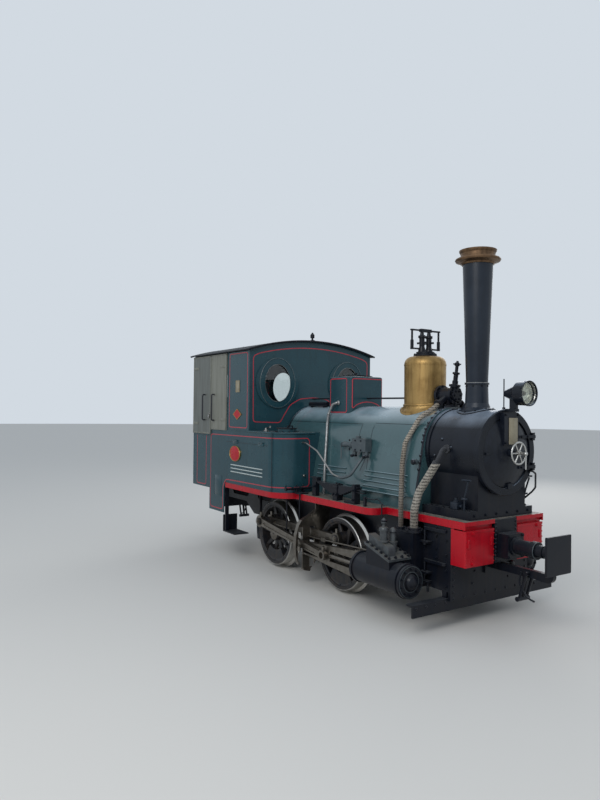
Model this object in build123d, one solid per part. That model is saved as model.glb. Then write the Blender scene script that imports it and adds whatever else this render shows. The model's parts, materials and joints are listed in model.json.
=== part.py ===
from build123d import *
import math
import os

# A small narrow-gauge tank engine with two driven axles.
# Millimetres. +X is forward, +Y is the engine's left, +Z is up.
# Z = 0 is the lowest point of the wheel flanges, X = 0 is half-way between the buffer faces.

# Track and wheels
BACK_TO_BACK = 990.0
TREAD_R = 355.0
FLANGE_H = 28.0
TYRE_W = 125.0
RIM_R = 292.0
HUB_R = 92.0
AXLE_R = 70.0
SPOKES = 10
FRONT_AXLE_X = 710.0
WHEELBASE = 1225.0
CRANK_THROW = 150.0
PIN_R = 32.0
RUN_FIT = 0.08

# Frame, beams and platform
FRAME_Y = 430.0
FRAME_T = 22.0
FRAME_BOTTOM = 500.0
PLATFORM_TOP = 900.0
PLATFORM_T = 10.0
BEAM_X = 2040.0
REAR_BEAM_X = -2236.0
BEAM_T = 25.0
BEAM_HALF_W = 491.0
STEP_X = -1262.0
STEP_Z = 300.0
SPRING_X = 660.0
BEAM_FOOT = 231.0
PLATFORM_NOSE = 2190.0
CENTRE_BOX = (157.0, 140.0, 538.0)
BUFFER_REACH = 666.0
REAR_BUFFER_REACH = 470.0
BUFFER_Z = 680.0
VALANCE_H = 62.0
VALANCE_T = 8.0
NOSE_STRIP_Z = 867.0
CAB_HALF_W = 885.0
PLATFORM_HALF_W = (CAB_HALF_W - 13, 680.0, BEAM_HALF_W)
PILOT_HALF_W = 886.0
PILOT_Z = (150.0, 250.0)

# Boiler, smokebox and chimney
BOILER_Z = 1450.0
CLAD_R = 380.0
CLAD_X0 = -660.0
SMOKEBOX_X0 = 1607.0
SMOKEBOX_X1 = 2170.0
SMOKEBOX_R = 356.0
SMOKEBOX_T = 12.0
RING_R = 366.0
RING_T = 34.0
DOOR_R = 292.0
DOOR_DISH = 46.0
CHIMNEY_X = 1872.0
CHIMNEY_TOP = 3217.0
DOME_X = 1228.0
DOME_R = 200.0
DOME_TOP = 2322.0
TURRET_X = (1440.0, 1650.0)
TURRET_Z = 1937.0

# Cab, tanks and roof
CAB_X0 = -2156.0
CAB_X1 = -666.0
SHEET_T = 8.0
EAVE_Z = 2470.0
APEX_Z = 2602.0
ROOF_T = 14.0
ROOF_HANG = 38.0
WAIST_Z = 1466.0
DOOR_X = (-2150.0, -1626.0, -1206.0)
WINDOW_Y = 513.0
WINDOW_Z = 2092.0
WINDOW_R = 235.0
TANK_X1 = 4.0
TANK_TOP = 1540.0
TANK_CORNER_R = 240.0

# Cylinders and motion
CYL_Y = 750.0
CYL_X0 = 1196.0
CYL_X1 = 1850.0
CYL_R = 140.0
ROD_Y = (640.0, 680.0)
MAIN_ROD_Y = (785.0, 823.0)
MAIN_ROD_L = 1200.0

GAP = 0.3
AXLE_Z = TREAD_R + FLANGE_H
VALANCE_FOOT = PLATFORM_TOP - VALANCE_H - GAP
REAR_AXLE_X = FRONT_AXLE_X - WHEELBASE
WHEEL_IN = BACK_TO_BACK / 2
WHEEL_OUT = WHEEL_IN + TYRE_W
FRONT_BUFFER_X = BEAM_X + BUFFER_REACH
REAR_BUFFER_X = REAR_BEAM_X - REAR_BUFFER_REACH
# crank angle from +X towards +Z, by side: -1 is the right side, +1 the left
CRANK_ANGLE = {-1: 90.0, 1: 0.0}


def block(x0, x1, y0, y1, z0, z1):
    """A box between two corners."""
    return Pos((x0 + x1) / 2, (y0 + y1) / 2, (z0 + z1) / 2) * Box(x1 - x0, y1 - y0, z1 - z0)


def rod_x(x0, x1, y, z, r):
    """A round bar along X."""
    return Pos((x0 + x1) / 2, y, z) * Rot(0, 90, 0) * Cylinder(r, x1 - x0)


def rod_y(y0, y1, x, z, r):
    """A round bar along Y."""
    return Pos(x, (y0 + y1) / 2, z) * Rot(90, 0, 0) * Cylinder(r, y1 - y0)


def rod_z(z0, z1, x, y, r):
    """A round bar along Z."""
    return Pos(x, y, (z0 + z1) / 2) * Cylinder(r, z1 - z0)


def outline(points):
    """A flat face from a closed list of corners."""
    return make_face(Polyline(*points, close=True))


def plate_x(face, x0, x1):
    """A face drawn in (Y, Z), as thick as x0 to x1."""
    return Pos(x0, 0, 0) * extrude(Plane.YZ * face, amount=x1 - x0)


def plate_y(face, y0, y1):
    """A face drawn in (X, Z), as thick as y0 to y1."""
    return Pos(0, y1, 0) * extrude(Plane.XZ * face, amount=y1 - y0)


def plate_z(face, z0, z1):
    """A face drawn in (X, Y), as thick as z0 to z1."""
    return Pos(0, 0, z0) * extrude(face, amount=z1 - z0)


def turned_z(profile, x=0.0, y=0.0, z=0.0):
    """A turned piece: profile holds (radius, height) corners."""
    return Pos(x, y, z) * revolve(Plane.XZ * outline(profile), axis=Axis.Z)


def turned_x(profile, x=0.0, y=0.0, z=0.0):
    """A turned piece lying along X: profile holds (x, radius) corners."""
    return Pos(x, y, z) * revolve(Plane.XZ * outline(profile), axis=Axis.X)


def turned_y(profile, x=0.0, y=0.0, z=0.0):
    """A turned piece lying along Y: profile holds (y, radius) corners."""
    return Pos(x, y, z) * Rot(0, 0, 90) * revolve(Plane.XZ * outline(profile), axis=Axis.X)


def other_side(shape):
    """The same piece on the other side of the engine."""
    return mirror(shape, about=Plane.XZ)


def pipe(points, radii, r):
    """A round pipe along straight runs joined by arcs."""
    path = FilletPolyline(*points, radius=radii)
    return sweep((path ^ 0) * Circle(r), path=path)


def bar(a, b, r):
    """A round bar between two points."""
    path = Line(a, b)
    return sweep((path ^ 0) * Circle(r), path=path)


def save(name, shapes):
    """Write one node, of one or more solids that don't touch."""
    solids = []
    for shape in shapes:
        solids.extend(shape.solids())
    whole = Compound(children=solids) if len(solids) > 1 else solids[0]
    export_step(whole, f"parts/{name}.step")


# Boiler cladding: a round top whose sides run down in a flare to a skirt on the platform
FLARE_Y = 460.0
FLARE_Z = 1045.0
SKIRT_Y = 434.0


def cladding_face(grow=0.0):
    """The cladding's cross-section in (Y, Z), optionally larger all round."""
    r = CLAD_R + grow
    y, z = FLARE_Y + grow, FLARE_Z - BOILER_Z
    far = math.hypot(y, z)
    touch = math.atan2(z, y) + math.acos(r / far)
    ty, tz = r * math.cos(touch), BOILER_Z + r * math.sin(touch)
    skirt = SKIRT_Y + grow
    foot = PLATFORM_TOP
    lip = FLARE_Z - 22
    edges = [
        Line((-skirt, foot), (skirt, foot)),
        Line((skirt, foot), (skirt, lip)),
        Line((skirt, lip), (y, lip)),
        Line((y, lip), (y, FLARE_Z)),
        Line((y, FLARE_Z), (ty, tz)),
        ThreePointArc((ty, tz), (0, BOILER_Z + r), (-ty, tz)),
        Line((-ty, tz), (-y, FLARE_Z)),
        Line((-y, FLARE_Z), (-y, lip)),
        Line((-y, lip), (-skirt, lip)),
        Line((-skirt, lip), (-skirt, foot)),
    ]
    return make_face(edges)


def boiler_cladding():
    """The painted sheet over boiler and firebox, from the smokebox to the cab."""
    return plate_x(cladding_face(), CLAD_X0, SMOKEBOX_X0 - GAP)


def firebox():
    """The firebox and ashpan below the platform, between the frames."""
    y = FRAME_Y - 40
    pan = block(-240, 120, -y + 60, y - 60, 330, 520)
    box = block(-470, 180, -y, y, 520, PLATFORM_TOP - PLATFORM_T)
    return box + pan


# Frame
FRAME_TOP = PLATFORM_TOP - PLATFORM_T
HORN_HALF_W = 112.0
BOX_HALF_W = 108.0


def main_frame():
    """Two plates with horn gaps and lightening holes, tied by stretchers."""
    plates = []
    edge = [
        (REAR_BEAM_X + BEAM_T, FRAME_BOTTOM + 110),
        (-1500, FRAME_BOTTOM + 110),
        (-1300, FRAME_BOTTOM - 20),
        (REAR_AXLE_X - 230, FRAME_BOTTOM - 20),
        (REAR_AXLE_X - 170, AXLE_Z - 95),
        (REAR_AXLE_X + 170, AXLE_Z - 95),
        (REAR_AXLE_X + 230, FRAME_BOTTOM - 20),
        (FRONT_AXLE_X - 230, FRAME_BOTTOM - 20),
        (FRONT_AXLE_X - 170, AXLE_Z - 95),
        (FRONT_AXLE_X + 170, AXLE_Z - 95),
        (FRONT_AXLE_X + 230, FRAME_BOTTOM - 20),
        (1300, AXLE_Z - 60),
        (BEAM_X - 220, AXLE_Z - 60),
        (BEAM_X - BEAM_T, FRAME_BOTTOM),
        (BEAM_X - BEAM_T, FRAME_TOP),
        (REAR_BEAM_X + BEAM_T, FRAME_TOP),
    ]
    face = outline(edge)
    for x in (REAR_AXLE_X, FRONT_AXLE_X):
        face -= Pos(x, AXLE_Z - 20) * Rectangle(2 * HORN_HALF_W, 250)
    for x, w in ((-1650, 420), (-1050, 330), (1560, 360)):
        face -= Pos(x, 745) * RectangleRounded(w, 150, 50)
    for y in (-1, 1):
        centre = y * FRAME_Y
        plates.append(plate_y(face, centre - FRAME_T / 2, centre + FRAME_T / 2))
    inner = FRAME_Y - FRAME_T / 2
    frame = plates[0] + plates[1]
    for x, z0, z1 in ((-2100, 640, FRAME_TOP), (-1280, 500, 560), (320, 470, 700), (1150, 360, FRAME_TOP)):
        frame += block(x - 15, x + 15, -inner, inner, z0, z1)
    frame += block(1480, BEAM_X - 60, -inner, inner, FRAME_TOP - 30, FRAME_TOP)
    return frame


def axle_boxes():
    """Four axle boxes that sit in the horn gaps, each with its keep below."""
    boxes = []
    for x in (REAR_AXLE_X, FRONT_AXLE_X):
        box = block(x - BOX_HALF_W, x + BOX_HALF_W, FRAME_Y - 45, FRAME_Y + 45, AXLE_Z - 90, AXLE_Z + 100)
        box -= rod_y(0, 800, x, AXLE_Z, AXLE_R + RUN_FIT)
        horn = 5
        slot = FRAME_T / 2 + GAP
        for s in (-1, 1):
            edge = x + s * (BOX_HALF_W - horn / 2)
            box += block(
                min(edge, x + s * (HORN_HALF_W - GAP)), max(edge, x + s * (HORN_HALF_W - GAP)),
                FRAME_Y - slot, FRAME_Y + slot, AXLE_Z - 90, AXLE_Z + 100,
            )
        boxes += [box, other_side(box)]
    return boxes


# Wheels
def wheel(side, x):
    """One spoked wheel with tyre, flange, balance weight, crank boss and crank pin."""
    inner, outer = WHEEL_IN, WHEEL_OUT
    tread_end = TREAD_R - 4
    rim = turned_y([
        (inner, RIM_R), (inner, TREAD_R + FLANGE_H - 12), (inner + 8, TREAD_R + FLANGE_H),
        (inner + 20, TREAD_R + FLANGE_H), (inner + 32, TREAD_R + 3), (outer - 6, tread_end),
        (outer, tread_end - 8), (outer, RIM_R + 22), (outer - 8, RIM_R + 18), (outer - 14, RIM_R),
    ])
    hub = turned_y([(inner + 2, 0), (inner + 2, HUB_R), (outer - 8, HUB_R - 8), (outer + 8, HUB_R - 14), (outer + 8, 0)])
    body = rim + hub
    angle = CRANK_ANGLE[side]
    mid = (inner + outer) / 2 - 4
    for n in range(SPOKES):
        turn = angle + 360.0 * (n + 0.5) / SPOKES
        spoke = loft([
            Pos(0, 0, HUB_R - 20) * RectangleRounded(62, 44, 14),
            Pos(0, 0, RIM_R + 6) * RectangleRounded(42, 34, 12),
        ])
        body += Rot(0, 90 - turn, 0) * Pos(0, mid, 0) * spoke
    boss = rod_y(inner + 40, outer + 12, CRANK_THROW * math.cos(math.radians(angle)),
                 CRANK_THROW * math.sin(math.radians(angle)), 62)
    body += boss
    sector = [(0, 0)]
    for step in range(-2, 3):
        turn = math.radians(angle + 180 + 18 * step)
        sector.append((420 * math.cos(turn), 420 * math.sin(turn)))
    weight = (Circle(RIM_R + 4) - Circle(188)) & outline(sector)
    body += plate_y(weight, inner + 34, outer - 14)
    pin_end = MAIN_ROD_Y[1] + 16 if x == REAR_AXLE_X else ROD_Y[1] + 10
    px = CRANK_THROW * math.cos(math.radians(angle))
    pz = CRANK_THROW * math.sin(math.radians(angle))
    body += rod_y(outer, pin_end, px, pz, PIN_R)
    body += rod_y(outer, ROD_Y[0] - 2, px, pz, PIN_R + 12)
    if x == REAR_AXLE_X:
        body += rod_y(ROD_Y[1] + 2, MAIN_ROD_Y[0] - 2, px, pz, PIN_R + 10)
    body += rod_y(pin_end - 12, pin_end, px, pz, PIN_R + 8) if x == REAR_AXLE_X else rod_y(
        ROD_Y[1] + 2, pin_end, px, pz, PIN_R + 8)
    return body


def wheelset(x):
    """An axle with its two wheels, the cranks a quarter turn apart."""
    right = other_side(wheel(-1, x))
    left = wheel(1, x)
    axle = rod_y(-WHEEL_OUT - 14, WHEEL_OUT + 14, 0, 0, AXLE_R)
    return Pos(x, 0, AXLE_Z) * (axle + right + left)


def pin_at(x, side):
    """The centre (x, z) of a crank pin at rest."""
    turn = math.radians(CRANK_ANGLE[side])
    return x + CRANK_THROW * math.cos(turn), AXLE_Z + CRANK_THROW * math.sin(turn)


def rod_between(a, b, eye_a, eye_b, depth_a, depth_b, y0, y1):
    """A rod of tapering depth with an eye at each end and a fluted face, in the plane y0 to y1."""
    ax, az = a
    bx, bz = b
    length = math.hypot(bx - ax, bz - az)
    turn = math.degrees(math.atan2(bz - az, bx - ax))
    web = outline([(0, -depth_a / 2), (length, -depth_b / 2), (length, depth_b / 2), (0, depth_a / 2)])
    face = web + Circle(eye_a) + Pos(length, 0) * Circle(eye_b)
    flute = SlotOverall(length - 2 * max(eye_a, eye_b) - 60, min(depth_a, depth_b) * 0.5)
    thick = y1 - y0
    bar = plate_y(face, 0, thick)
    bar -= plate_y(Pos(length / 2, 0) * flute, thick - 8, thick)
    for x, eye in ((0, eye_a), (length, eye_b)):
        bar += rod_z(0, 46, 0, 0, 15).moved(Location((x, thick / 2, eye - 8)))
    bar -= rod_y(-1, thick + 1, 0, 0, PIN_R + RUN_FIT)
    bar -= rod_y(-1, thick + 1, length, 0, PIN_R + RUN_FIT)
    return Pos(ax, y0, az) * Rot(0, -turn, 0) * bar


def coupling_rod(side):
    """The rod that joins the two crank pins of a side."""
    rod = rod_between(pin_at(REAR_AXLE_X, side), pin_at(FRONT_AXLE_X, side), 60, 60, 76, 76, *ROD_Y)
    return rod if side > 0 else other_side(rod)


def crosshead_x(side):
    """Where the crosshead pin stands at rest."""
    px, pz = pin_at(REAR_AXLE_X, side)
    return px + math.sqrt(MAIN_ROD_L ** 2 - (pz - AXLE_Z) ** 2)


def main_rod(side):
    """The rod from the rear crank pin to the crosshead."""
    rod = rod_between(pin_at(REAR_AXLE_X, side), (crosshead_x(side), AXLE_Z), 66, 50, 84, 60, *MAIN_ROD_Y)
    return rod if side > 0 else other_side(rod)


# Cylinders
SLIDE_Y = (715.0, 770.0)
SLIDE_HALF_GAP = 49.0
# half height over both slide bars at the motion plate and at the cylinder
SLIDE_OUTER = (60.0, 150.0)
CHEST_X = (1400.0, 1700.0)
CHEST_Y = 856.0
CHEST_FRONT_Z = 530.0
CHEST_SLOPE = 0.3133
STEAM_BOX_X = (1440.0, 1727.0)
STEAM_BOX_Y = 614.0
STEAM_BOX_TOP = 750.0
STEAM_X = 1512.0
STEAM_Y = 558.0
STEAM_R = 22.0
EXHAUST_X = 1670.0
EXHAUST_Y = 550.0
EXHAUST_R = 34.0
OILER_X = (1552.0, 1576.0)
OILER_Y = (790.0, 706.0)
VALVE_ROD_Y = 704.0
VALVE_ROD_Z = 530.0
CASTING_TOP = 832.0
CASTING_FOOT = 300.0
CASTING_RIBS = (784.0, 512.0)
# lug height and the top of its stem
CASTING_LUGS = ((690.0, 780.0), (432.0, 506.0), (356.0, 420.0))
MOTION_X = 280.0
# the motion plate's outer edge, as (Y, Z) from the platform down to the foot
MOTION_EDGE = (
    (592.0, 800.0), (607.0, 781.0), (644.0, 743.0), (706.0, 707.0), (804.0, 664.0), (840.0, 616.0),
    (869.0, 518.0), (877.0, 418.0), (872.0, 316.0), (835.0, 221.0), (770.0, 156.0),
)


def chest_foot(x):
    """Height of the inclined face that the valve chest's lid is bolted to."""
    return CHEST_FRONT_Z + CHEST_SLOPE * (CHEST_X[1] - x)


def cylinder_block():
    """One casting: barrel with two stepped covers, inclined valve chest and the tall steam box."""
    face_y = FRAME_Y + FRAME_T / 2
    body = rod_x(CYL_X0 + 26, CYL_X1 - 40, CYL_Y, AXLE_Z, CYL_R - 10)
    body += turned_x([
        (CYL_X0, 0), (CYL_X0, CYL_R - 24), (CYL_X0 + 6, CYL_R), (CYL_X0 + 32, CYL_R), (CYL_X0 + 32, 0),
    ], 0, CYL_Y, AXLE_Z)
    body += turned_x([
        (CYL_X1 - 62, 0), (CYL_X1 - 62, CYL_R + 6), (CYL_X1 - 40, CYL_R + 6), (CYL_X1 - 36, CYL_R - 8),
        (CYL_X1 - 30, CYL_R - 8), (CYL_X1 - 26, CYL_R), (CYL_X1 - 5, CYL_R), (CYL_X1, CYL_R - 6),
        (CYL_X1, 78), (CYL_X1 - 6, 72), (CYL_X1 - 2, 66), (CYL_X1 + 16, 61), (CYL_X1 + 32, 50),
        (CYL_X1 + 44, 34), (CYL_X1 + 50, 16), (CYL_X1 + 52, 0),
    ], 0, CYL_Y, AXLE_Z)
    x0, x1 = CHEST_X
    chest = outline([(x0, AXLE_Z), (x1, AXLE_Z), (x1, chest_foot(x1)), (x0, chest_foot(x0))])
    body += plate_y(chest, STEAM_BOX_Y, CHEST_Y)
    body += block(STEAM_BOX_X[0], STEAM_BOX_X[1], face_y, STEAM_BOX_Y + 1, AXLE_Z - 60, STEAM_BOX_TOP)
    body += block(x0, STEAM_BOX_X[1], face_y, CYL_Y - 40, AXLE_Z - 100, AXLE_Z + 60)
    body += rod_x(CYL_X0 - 46, CYL_X0 + 2, CYL_Y, AXLE_Z, 36)
    body += rod_x(x0 - 40, x0 + 2, VALVE_ROD_Y, VALVE_ROD_Z, 20)
    body += rod_z(STEAM_BOX_TOP - 1, STEAM_BOX_TOP + 18, EXHAUST_X, EXHAUST_Y, 78)
    body += rod_z(STEAM_BOX_TOP - 1, STEAM_BOX_TOP + 36, EXHAUST_X, EXHAUST_Y, 60)
    body += rod_z(STEAM_BOX_TOP - 1, STEAM_BOX_TOP + 22, STEAM_X, STEAM_Y, 42)
    return body


def chest_lid():
    """The inclined flange of the valve chest with its raised rib, oil cup, oiler and their seats."""
    x0, x1 = CHEST_X[0] - 12, CHEST_X[1] + 8
    low0, low1 = chest_foot(x0) + GAP, chest_foot(x1) + GAP
    plate = outline([(x0, low0), (x1, low1), (x1, low1 + 20), (x0, low0 + 20)])
    lid = plate_y(plate, STEAM_BOX_Y + 1 + GAP, CHEST_Y + 14)
    r0, r1 = CHEST_X[0], CHEST_X[1] - 40
    top0, top1 = chest_foot(r0) + 94, chest_foot(r1 - 46) + 94
    rib = make_face([
        Line((r0, low1), (r1, low1)), Line((r1, low1), (r1, top1 - 46)),
        RadiusArc((r1, top1 - 46), (r1 - 46, top1), -46),
        Line((r1 - 46, top1), (r0, top0)), Line((r0, top0), (r0, low1)),
    ])
    lid += plate_y(rib, OILER_Y[0] - 34, OILER_Y[0] + 40)
    x = OILER_X[0]
    z = chest_foot(x) + 90
    lid += turned_z([
        (0, z), (44, z), (44, z + 12), (33, z + 14), (33, z + 92), (42, z + 94), (42, z + 112), (36, z + 124),
        (14, z + 132), (12, z + 150), (23, z + 162), (21, z + 186), (8, z + 204), (0, z + 206),
    ], x, OILER_Y[0])
    x = OILER_X[1]
    z = chest_foot(x)
    lid += turned_z([
        (0, z), (36, z), (36, z + 84), (40, z + 86), (40, z + 98), (27, z + 100), (27, z + 172), (32, z + 180),
        (26, z + 202), (12, z + 216), (0, z + 220),
    ], x, OILER_Y[1])
    seat = outline([(x0 - 1, 0), (x1 + 1, 0), (x1 + 1, low1 - CHEST_SLOPE), (x0 - 1, low0 + CHEST_SLOPE)])
    return lid - plate_y(seat, 0, CAB_HALF_W)


def frame_casting():
    """The upright casting between steam box and beam, with two ribs and the flat-topped lugs."""
    face_y = FRAME_Y + FRAME_T / 2
    x0, x1 = STEAM_BOX_X[1] + GAP, BEAM_X - BEAM_T - GAP
    body = block(x0, x1, face_y + GAP, BEAM_HALF_W, CASTING_FOOT, CASTING_TOP)
    for z in CASTING_RIBS:
        rib = Pos((x0 + x1) / 2, BEAM_HALF_W - 8) * RectangleRounded(x1 - x0 - 40, 80, 26)
        body += plate_z(rib, z, z + 22)
    for z, stem_top in CASTING_LUGS:
        body += block(x0 + 4, x0 + 104, BEAM_HALF_W - 2, BEAM_HALF_W + 58, z - 14, z)
        body += rod_z(z - 2, stem_top, x0 + 44, BEAM_HALF_W + 30, 9)
        body += rod_z(z - 34, z - 12, x0 + 44, BEAM_HALF_W + 30, 16)
    body += rod_z(CASTING_FOOT - 36, CASTING_LUGS[-1][0] - 10, x0 + 84, BEAM_HALF_W + 30, 12)
    return body


def slide_bars():
    """The D-shaped motion plate, the two tapered slide bars on it, and the valve rod."""
    face_y = FRAME_Y + FRAME_T / 2 + GAP
    x0, x1 = MOTION_X, CYL_X0 - GAP
    inner = [(face_y, 420), (face_y, VALANCE_FOOT), (592, VALANCE_FOOT)]
    foot = [(700, 140), (640, 190), (560, 300)]
    face = outline(inner + list(MOTION_EDGE) + foot)
    band = face - offset(face, -9)
    band &= outline([(560, 860), (900, 860), (900, 100), (690, 100), (690, 300), (560, 700)])
    body = plate_x(face, x0, x0 + 12) + plate_x(band, x0 - 14, x0 + 34)
    # (Y from, Y to, Z from, Z to) of the slots that coupling rod and main rod pass through
    for y0, y1, z0, z1 in ((ROD_Y[0] - 9, ROD_Y[1] + 9, 180, 590), (MAIN_ROD_Y[0] - 9, MAIN_ROD_Y[1] + 9, 0, 590)):
        body -= block(x0 - 40, x0 + 60, y0, y1, z0, z1)
    for s in (-1, 1):
        a, b = SLIDE_OUTER
        bar_face = outline([
            (x0, AXLE_Z + s * SLIDE_HALF_GAP), (x1, AXLE_Z + s * SLIDE_HALF_GAP), (x1, AXLE_Z + s * (b - 14)),
            (x1 - 60, AXLE_Z + s * (b - 14)), (x1 - 64, AXLE_Z + s * (b - 26)), (x0, AXLE_Z + s * a),
        ])
        body += plate_y(bar_face, SLIDE_Y[0], SLIDE_Y[1])
    body += block(x0 + 11, x0 + 20, 585, 625, VALANCE_FOOT - 86, VALANCE_FOOT)
    body += bar((x0 + 6, VALVE_ROD_Y, VALVE_ROD_Z - 40), (CHEST_X[0] - 40 - GAP, VALVE_ROD_Y, VALVE_ROD_Z), 8)
    body += block(520, 590, VALVE_ROD_Y - 8, VALVE_ROD_Y + 7, VALVE_ROD_Z - 50, VALVE_ROD_Z - 10)
    body += rod_z(AXLE_Z - 12, AXLE_Z + 30, x0 + 66, 856, 17)
    body += block(x0 + 10, x0 + 60, 846, 866, AXLE_Z - 6, AXLE_Z + 8)
    return body


def crosshead(side):
    """The crosshead block between the slide bars, with its pin, and the piston rod."""
    x = crosshead_x(side)
    half = SLIDE_HALF_GAP - GAP
    shoe = block(x - 70, x + 70, SLIDE_Y[0] + 2, SLIDE_Y[1] - 2, AXLE_Z - half, AXLE_Z + half)
    pin = rod_y(SLIDE_Y[1] - 4, MAIN_ROD_Y[0] - 5, x, AXLE_Z, 34)
    piston_rod = rod_x(x + 60, CYL_X0 - 46 - GAP, CYL_Y, AXLE_Z, 22)
    shape = shoe + pin + piston_rod
    return shape if side > 0 else other_side(shape)


# Beams, buffers and couplings
BOX_Y = (146.0, BEAM_HALF_W)
BOX_Z = (535.0, 836.0)
BOX_REACH = 157.0


def front_beam():
    """The front plate with its lower apron and the box that carries the buffer."""
    reach, half, low = CENTRE_BOX
    plate = block(BEAM_X - BEAM_T, BEAM_X, -BEAM_HALF_W, BEAM_HALF_W, BEAM_FOOT, FRAME_TOP)
    return plate + block(BEAM_X - 1, BEAM_X + reach, -half, half, low, FRAME_TOP)


def red_box(side):
    """One of the two tool boxes on the beam, with its lid's edge and softened corners."""
    y0, y1 = BOX_Y
    x0, x1 = BEAM_X + GAP, BEAM_X + BOX_REACH
    body = block(x0, x1, y0, y1, *BOX_Z)
    body = fillet(body.edges().filter_by(Axis.Z).group_by(Axis.X)[-1], 12)
    body -= block(x0 + 30, x1 + 9, y0 - 9, y1 + 9, BOX_Z[1] - 10, BOX_Z[1] + 9)
    for z in (BOX_Z[0] + 24, BOX_Z[1] - 30):
        body += rod_x(x1 - 2, x1 + 12, y0 + 262, z, 13)
    return body if side > 0 else other_side(body)


def rear_beam():
    """The rear plate, the same height as the front one."""
    return block(REAR_BEAM_X, REAR_BEAM_X + BEAM_T - GAP, -BEAM_HALF_W - 60, BEAM_HALF_W + 60, 440, FRAME_TOP)


def pilot_board():
    """The full-width angle bar low across the front, on two hangers."""
    x = BEAM_X - BEAM_T - GAP
    z0, z1 = PILOT_Z
    board = block(x - 16, x, -PILOT_HALF_W, PILOT_HALF_W, z0, z1)
    board += block(x - 78, x - 14, -PILOT_HALF_W, PILOT_HALF_W, z1 - 16, z1)
    for y in (-466, 466):
        board += block(x - 70, x - 20, y - 24, y + 24, z1 - 1, CASTING_FOOT - GAP)
    return board


def buffer(face_x, sign, base_x):
    """A centre buffer: square base block, barrel, ring, sleeve and a tall rectangular face plate."""
    reach = abs(face_x - base_x)
    base = min(103.0, reach * 0.25)
    barrel = turned_x([
        (base - 1, 0), (base - 1, 78), (base + 14, 78), (base + 18, 64), (reach * 0.53, 62), (reach * 0.53, 72),
        (reach * 0.62, 72), (reach * 0.62, 52), (reach * 0.74, 50), (reach * 0.74, 42), (reach - 44, 42),
        (reach - 40, 74), (reach - 20, 74), (reach - 20, 0),
    ])
    whole = barrel + plate_x(RectangleRounded(306, 304, 10), reach - 20, reach)
    whole += plate_x(RectangleRounded(200, 205, 8), 0, base)
    if sign < 0:
        whole = Rot(0, 0, 180) * whole
    return Pos(base_x, 0, BUFFER_Z) * whole


def draw_hook(base_x, sign, reach):
    """A draw bar with its hook below the buffer, a shackle that hangs from it, and a curved handle."""
    z = 489
    tip = reach
    whole = block(0, 18, -90, 90, z - 70, CENTRE_BOX[2] - GAP)
    whole += block(10, tip - 190, -20, 20, z - 34, z + 30)
    hook = make_face([
        Line((tip - 191, z - 34), (tip - 60, z - 42)), RadiusArc((tip - 60, z - 42), (tip, z + 14), -58),
        Line((tip, z + 14), (tip - 12, z + 56)), Line((tip - 12, z + 56), (tip - 44, z + 56)),
        RadiusArc((tip - 44, z + 56), (tip - 112, z + 30), 60), Line((tip - 112, z + 30), (tip - 191, z + 30)),
        Line((tip - 191, z + 30), (tip - 191, z - 34)),
    ])
    whole += plate_y(hook, -20, 20)
    top, low = (tip - 230, z - 2), (tip - 300, z - 226)
    whole += pipe([(top[0], -46, top[1]), (low[0], -46, low[1]), (low[0], 46, low[1]), (top[0], 46, top[1])],
                  [30, 30], 12)
    whole += rod_y(-58, 58, top[0], top[1], 17)
    whole += rod_y(-72, 72, low[0], low[1] + 6, 19)
    whole += bar((tip - 268, 0, z - 60), (low[0], 0, low[1] + 6), 15)
    whole += block(tip - 285, tip - 251, -20, 20, z - 70, z - 30)
    whole += pipe([(tip - 293, -27, z), (tip - 312, -27, z - 102), (tip - 234, -27, z - 197),
                   (tip - 167, -27, z - 213)], [70, 60], 8)
    if sign < 0:
        whole = Rot(0, 0, 180) * whole
    return Pos(base_x, 0, 0) * whole


# Platform and valances
def platform_half(grow=0.0):
    """Half of the platform's plan on the left side, in (X, Y), larger by grow at its outer edge."""
    w0, w1, w2 = (w + grow for w in PLATFORM_HALF_W)
    g = grow
    x_rear = STEP_X
    x_tank = TANK_X1 + 4 + g
    x_mid = 1249.0 + g
    x_front = PLATFORM_NOSE + g
    r_tank = TANK_CORNER_R + g
    r_mid = 90.0 + g
    edges = [
        Line((x_rear, 0), (x_rear, w0)),
        Line((x_rear, w0), (x_tank - r_tank, w0)),
        RadiusArc((x_tank - r_tank, w0), (x_tank - r_tank + r_tank * math.sin(math.acos((r_tank - (w0 - w1)) / r_tank)), w1), r_tank),
    ]
    end = edges[-1] @ 1
    edges += [
        Line(end, (x_mid - r_mid, w1)),
        RadiusArc((x_mid - r_mid, w1), (x_mid, w1 - r_mid), r_mid),
        Line((x_mid, w1 - r_mid), (x_mid, w2)),
        Line((x_mid, w2), (x_front, w2)),
        Line((x_front, w2), (x_front, 0)),
        Line((x_front, 0), (x_rear, 0)),
    ]
    return make_face(edges)


def running_board():
    """The platform plate from the cab to the front beam."""
    half = plate_z(platform_half(), PLATFORM_TOP - PLATFORM_T + GAP, PLATFORM_TOP - GAP)
    return half + other_side(half)


def valance():
    """The red strip that hangs below the platform's outer edge, and its short run across the nose."""
    outer = plate_z(platform_half(VALANCE_T), PLATFORM_TOP - VALANCE_H, PLATFORM_TOP - GAP)
    inner = plate_z(platform_half(GAP), PLATFORM_TOP - VALANCE_H - 1, PLATFORM_TOP + 3)
    strip = outer - inner
    nose = PLATFORM_NOSE + GAP
    strip -= block(STEP_X - 138, STEP_X + 22, 0, 1000, 0, 1000)
    strip -= block(nose - 2, nose + 20, -10, BEAM_HALF_W, 0, NOSE_STRIP_Z)
    strip -= block(nose - 2, nose + 20, -10, CENTRE_BOX[1] + GAP, 0, 1000)
    return strip


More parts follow.
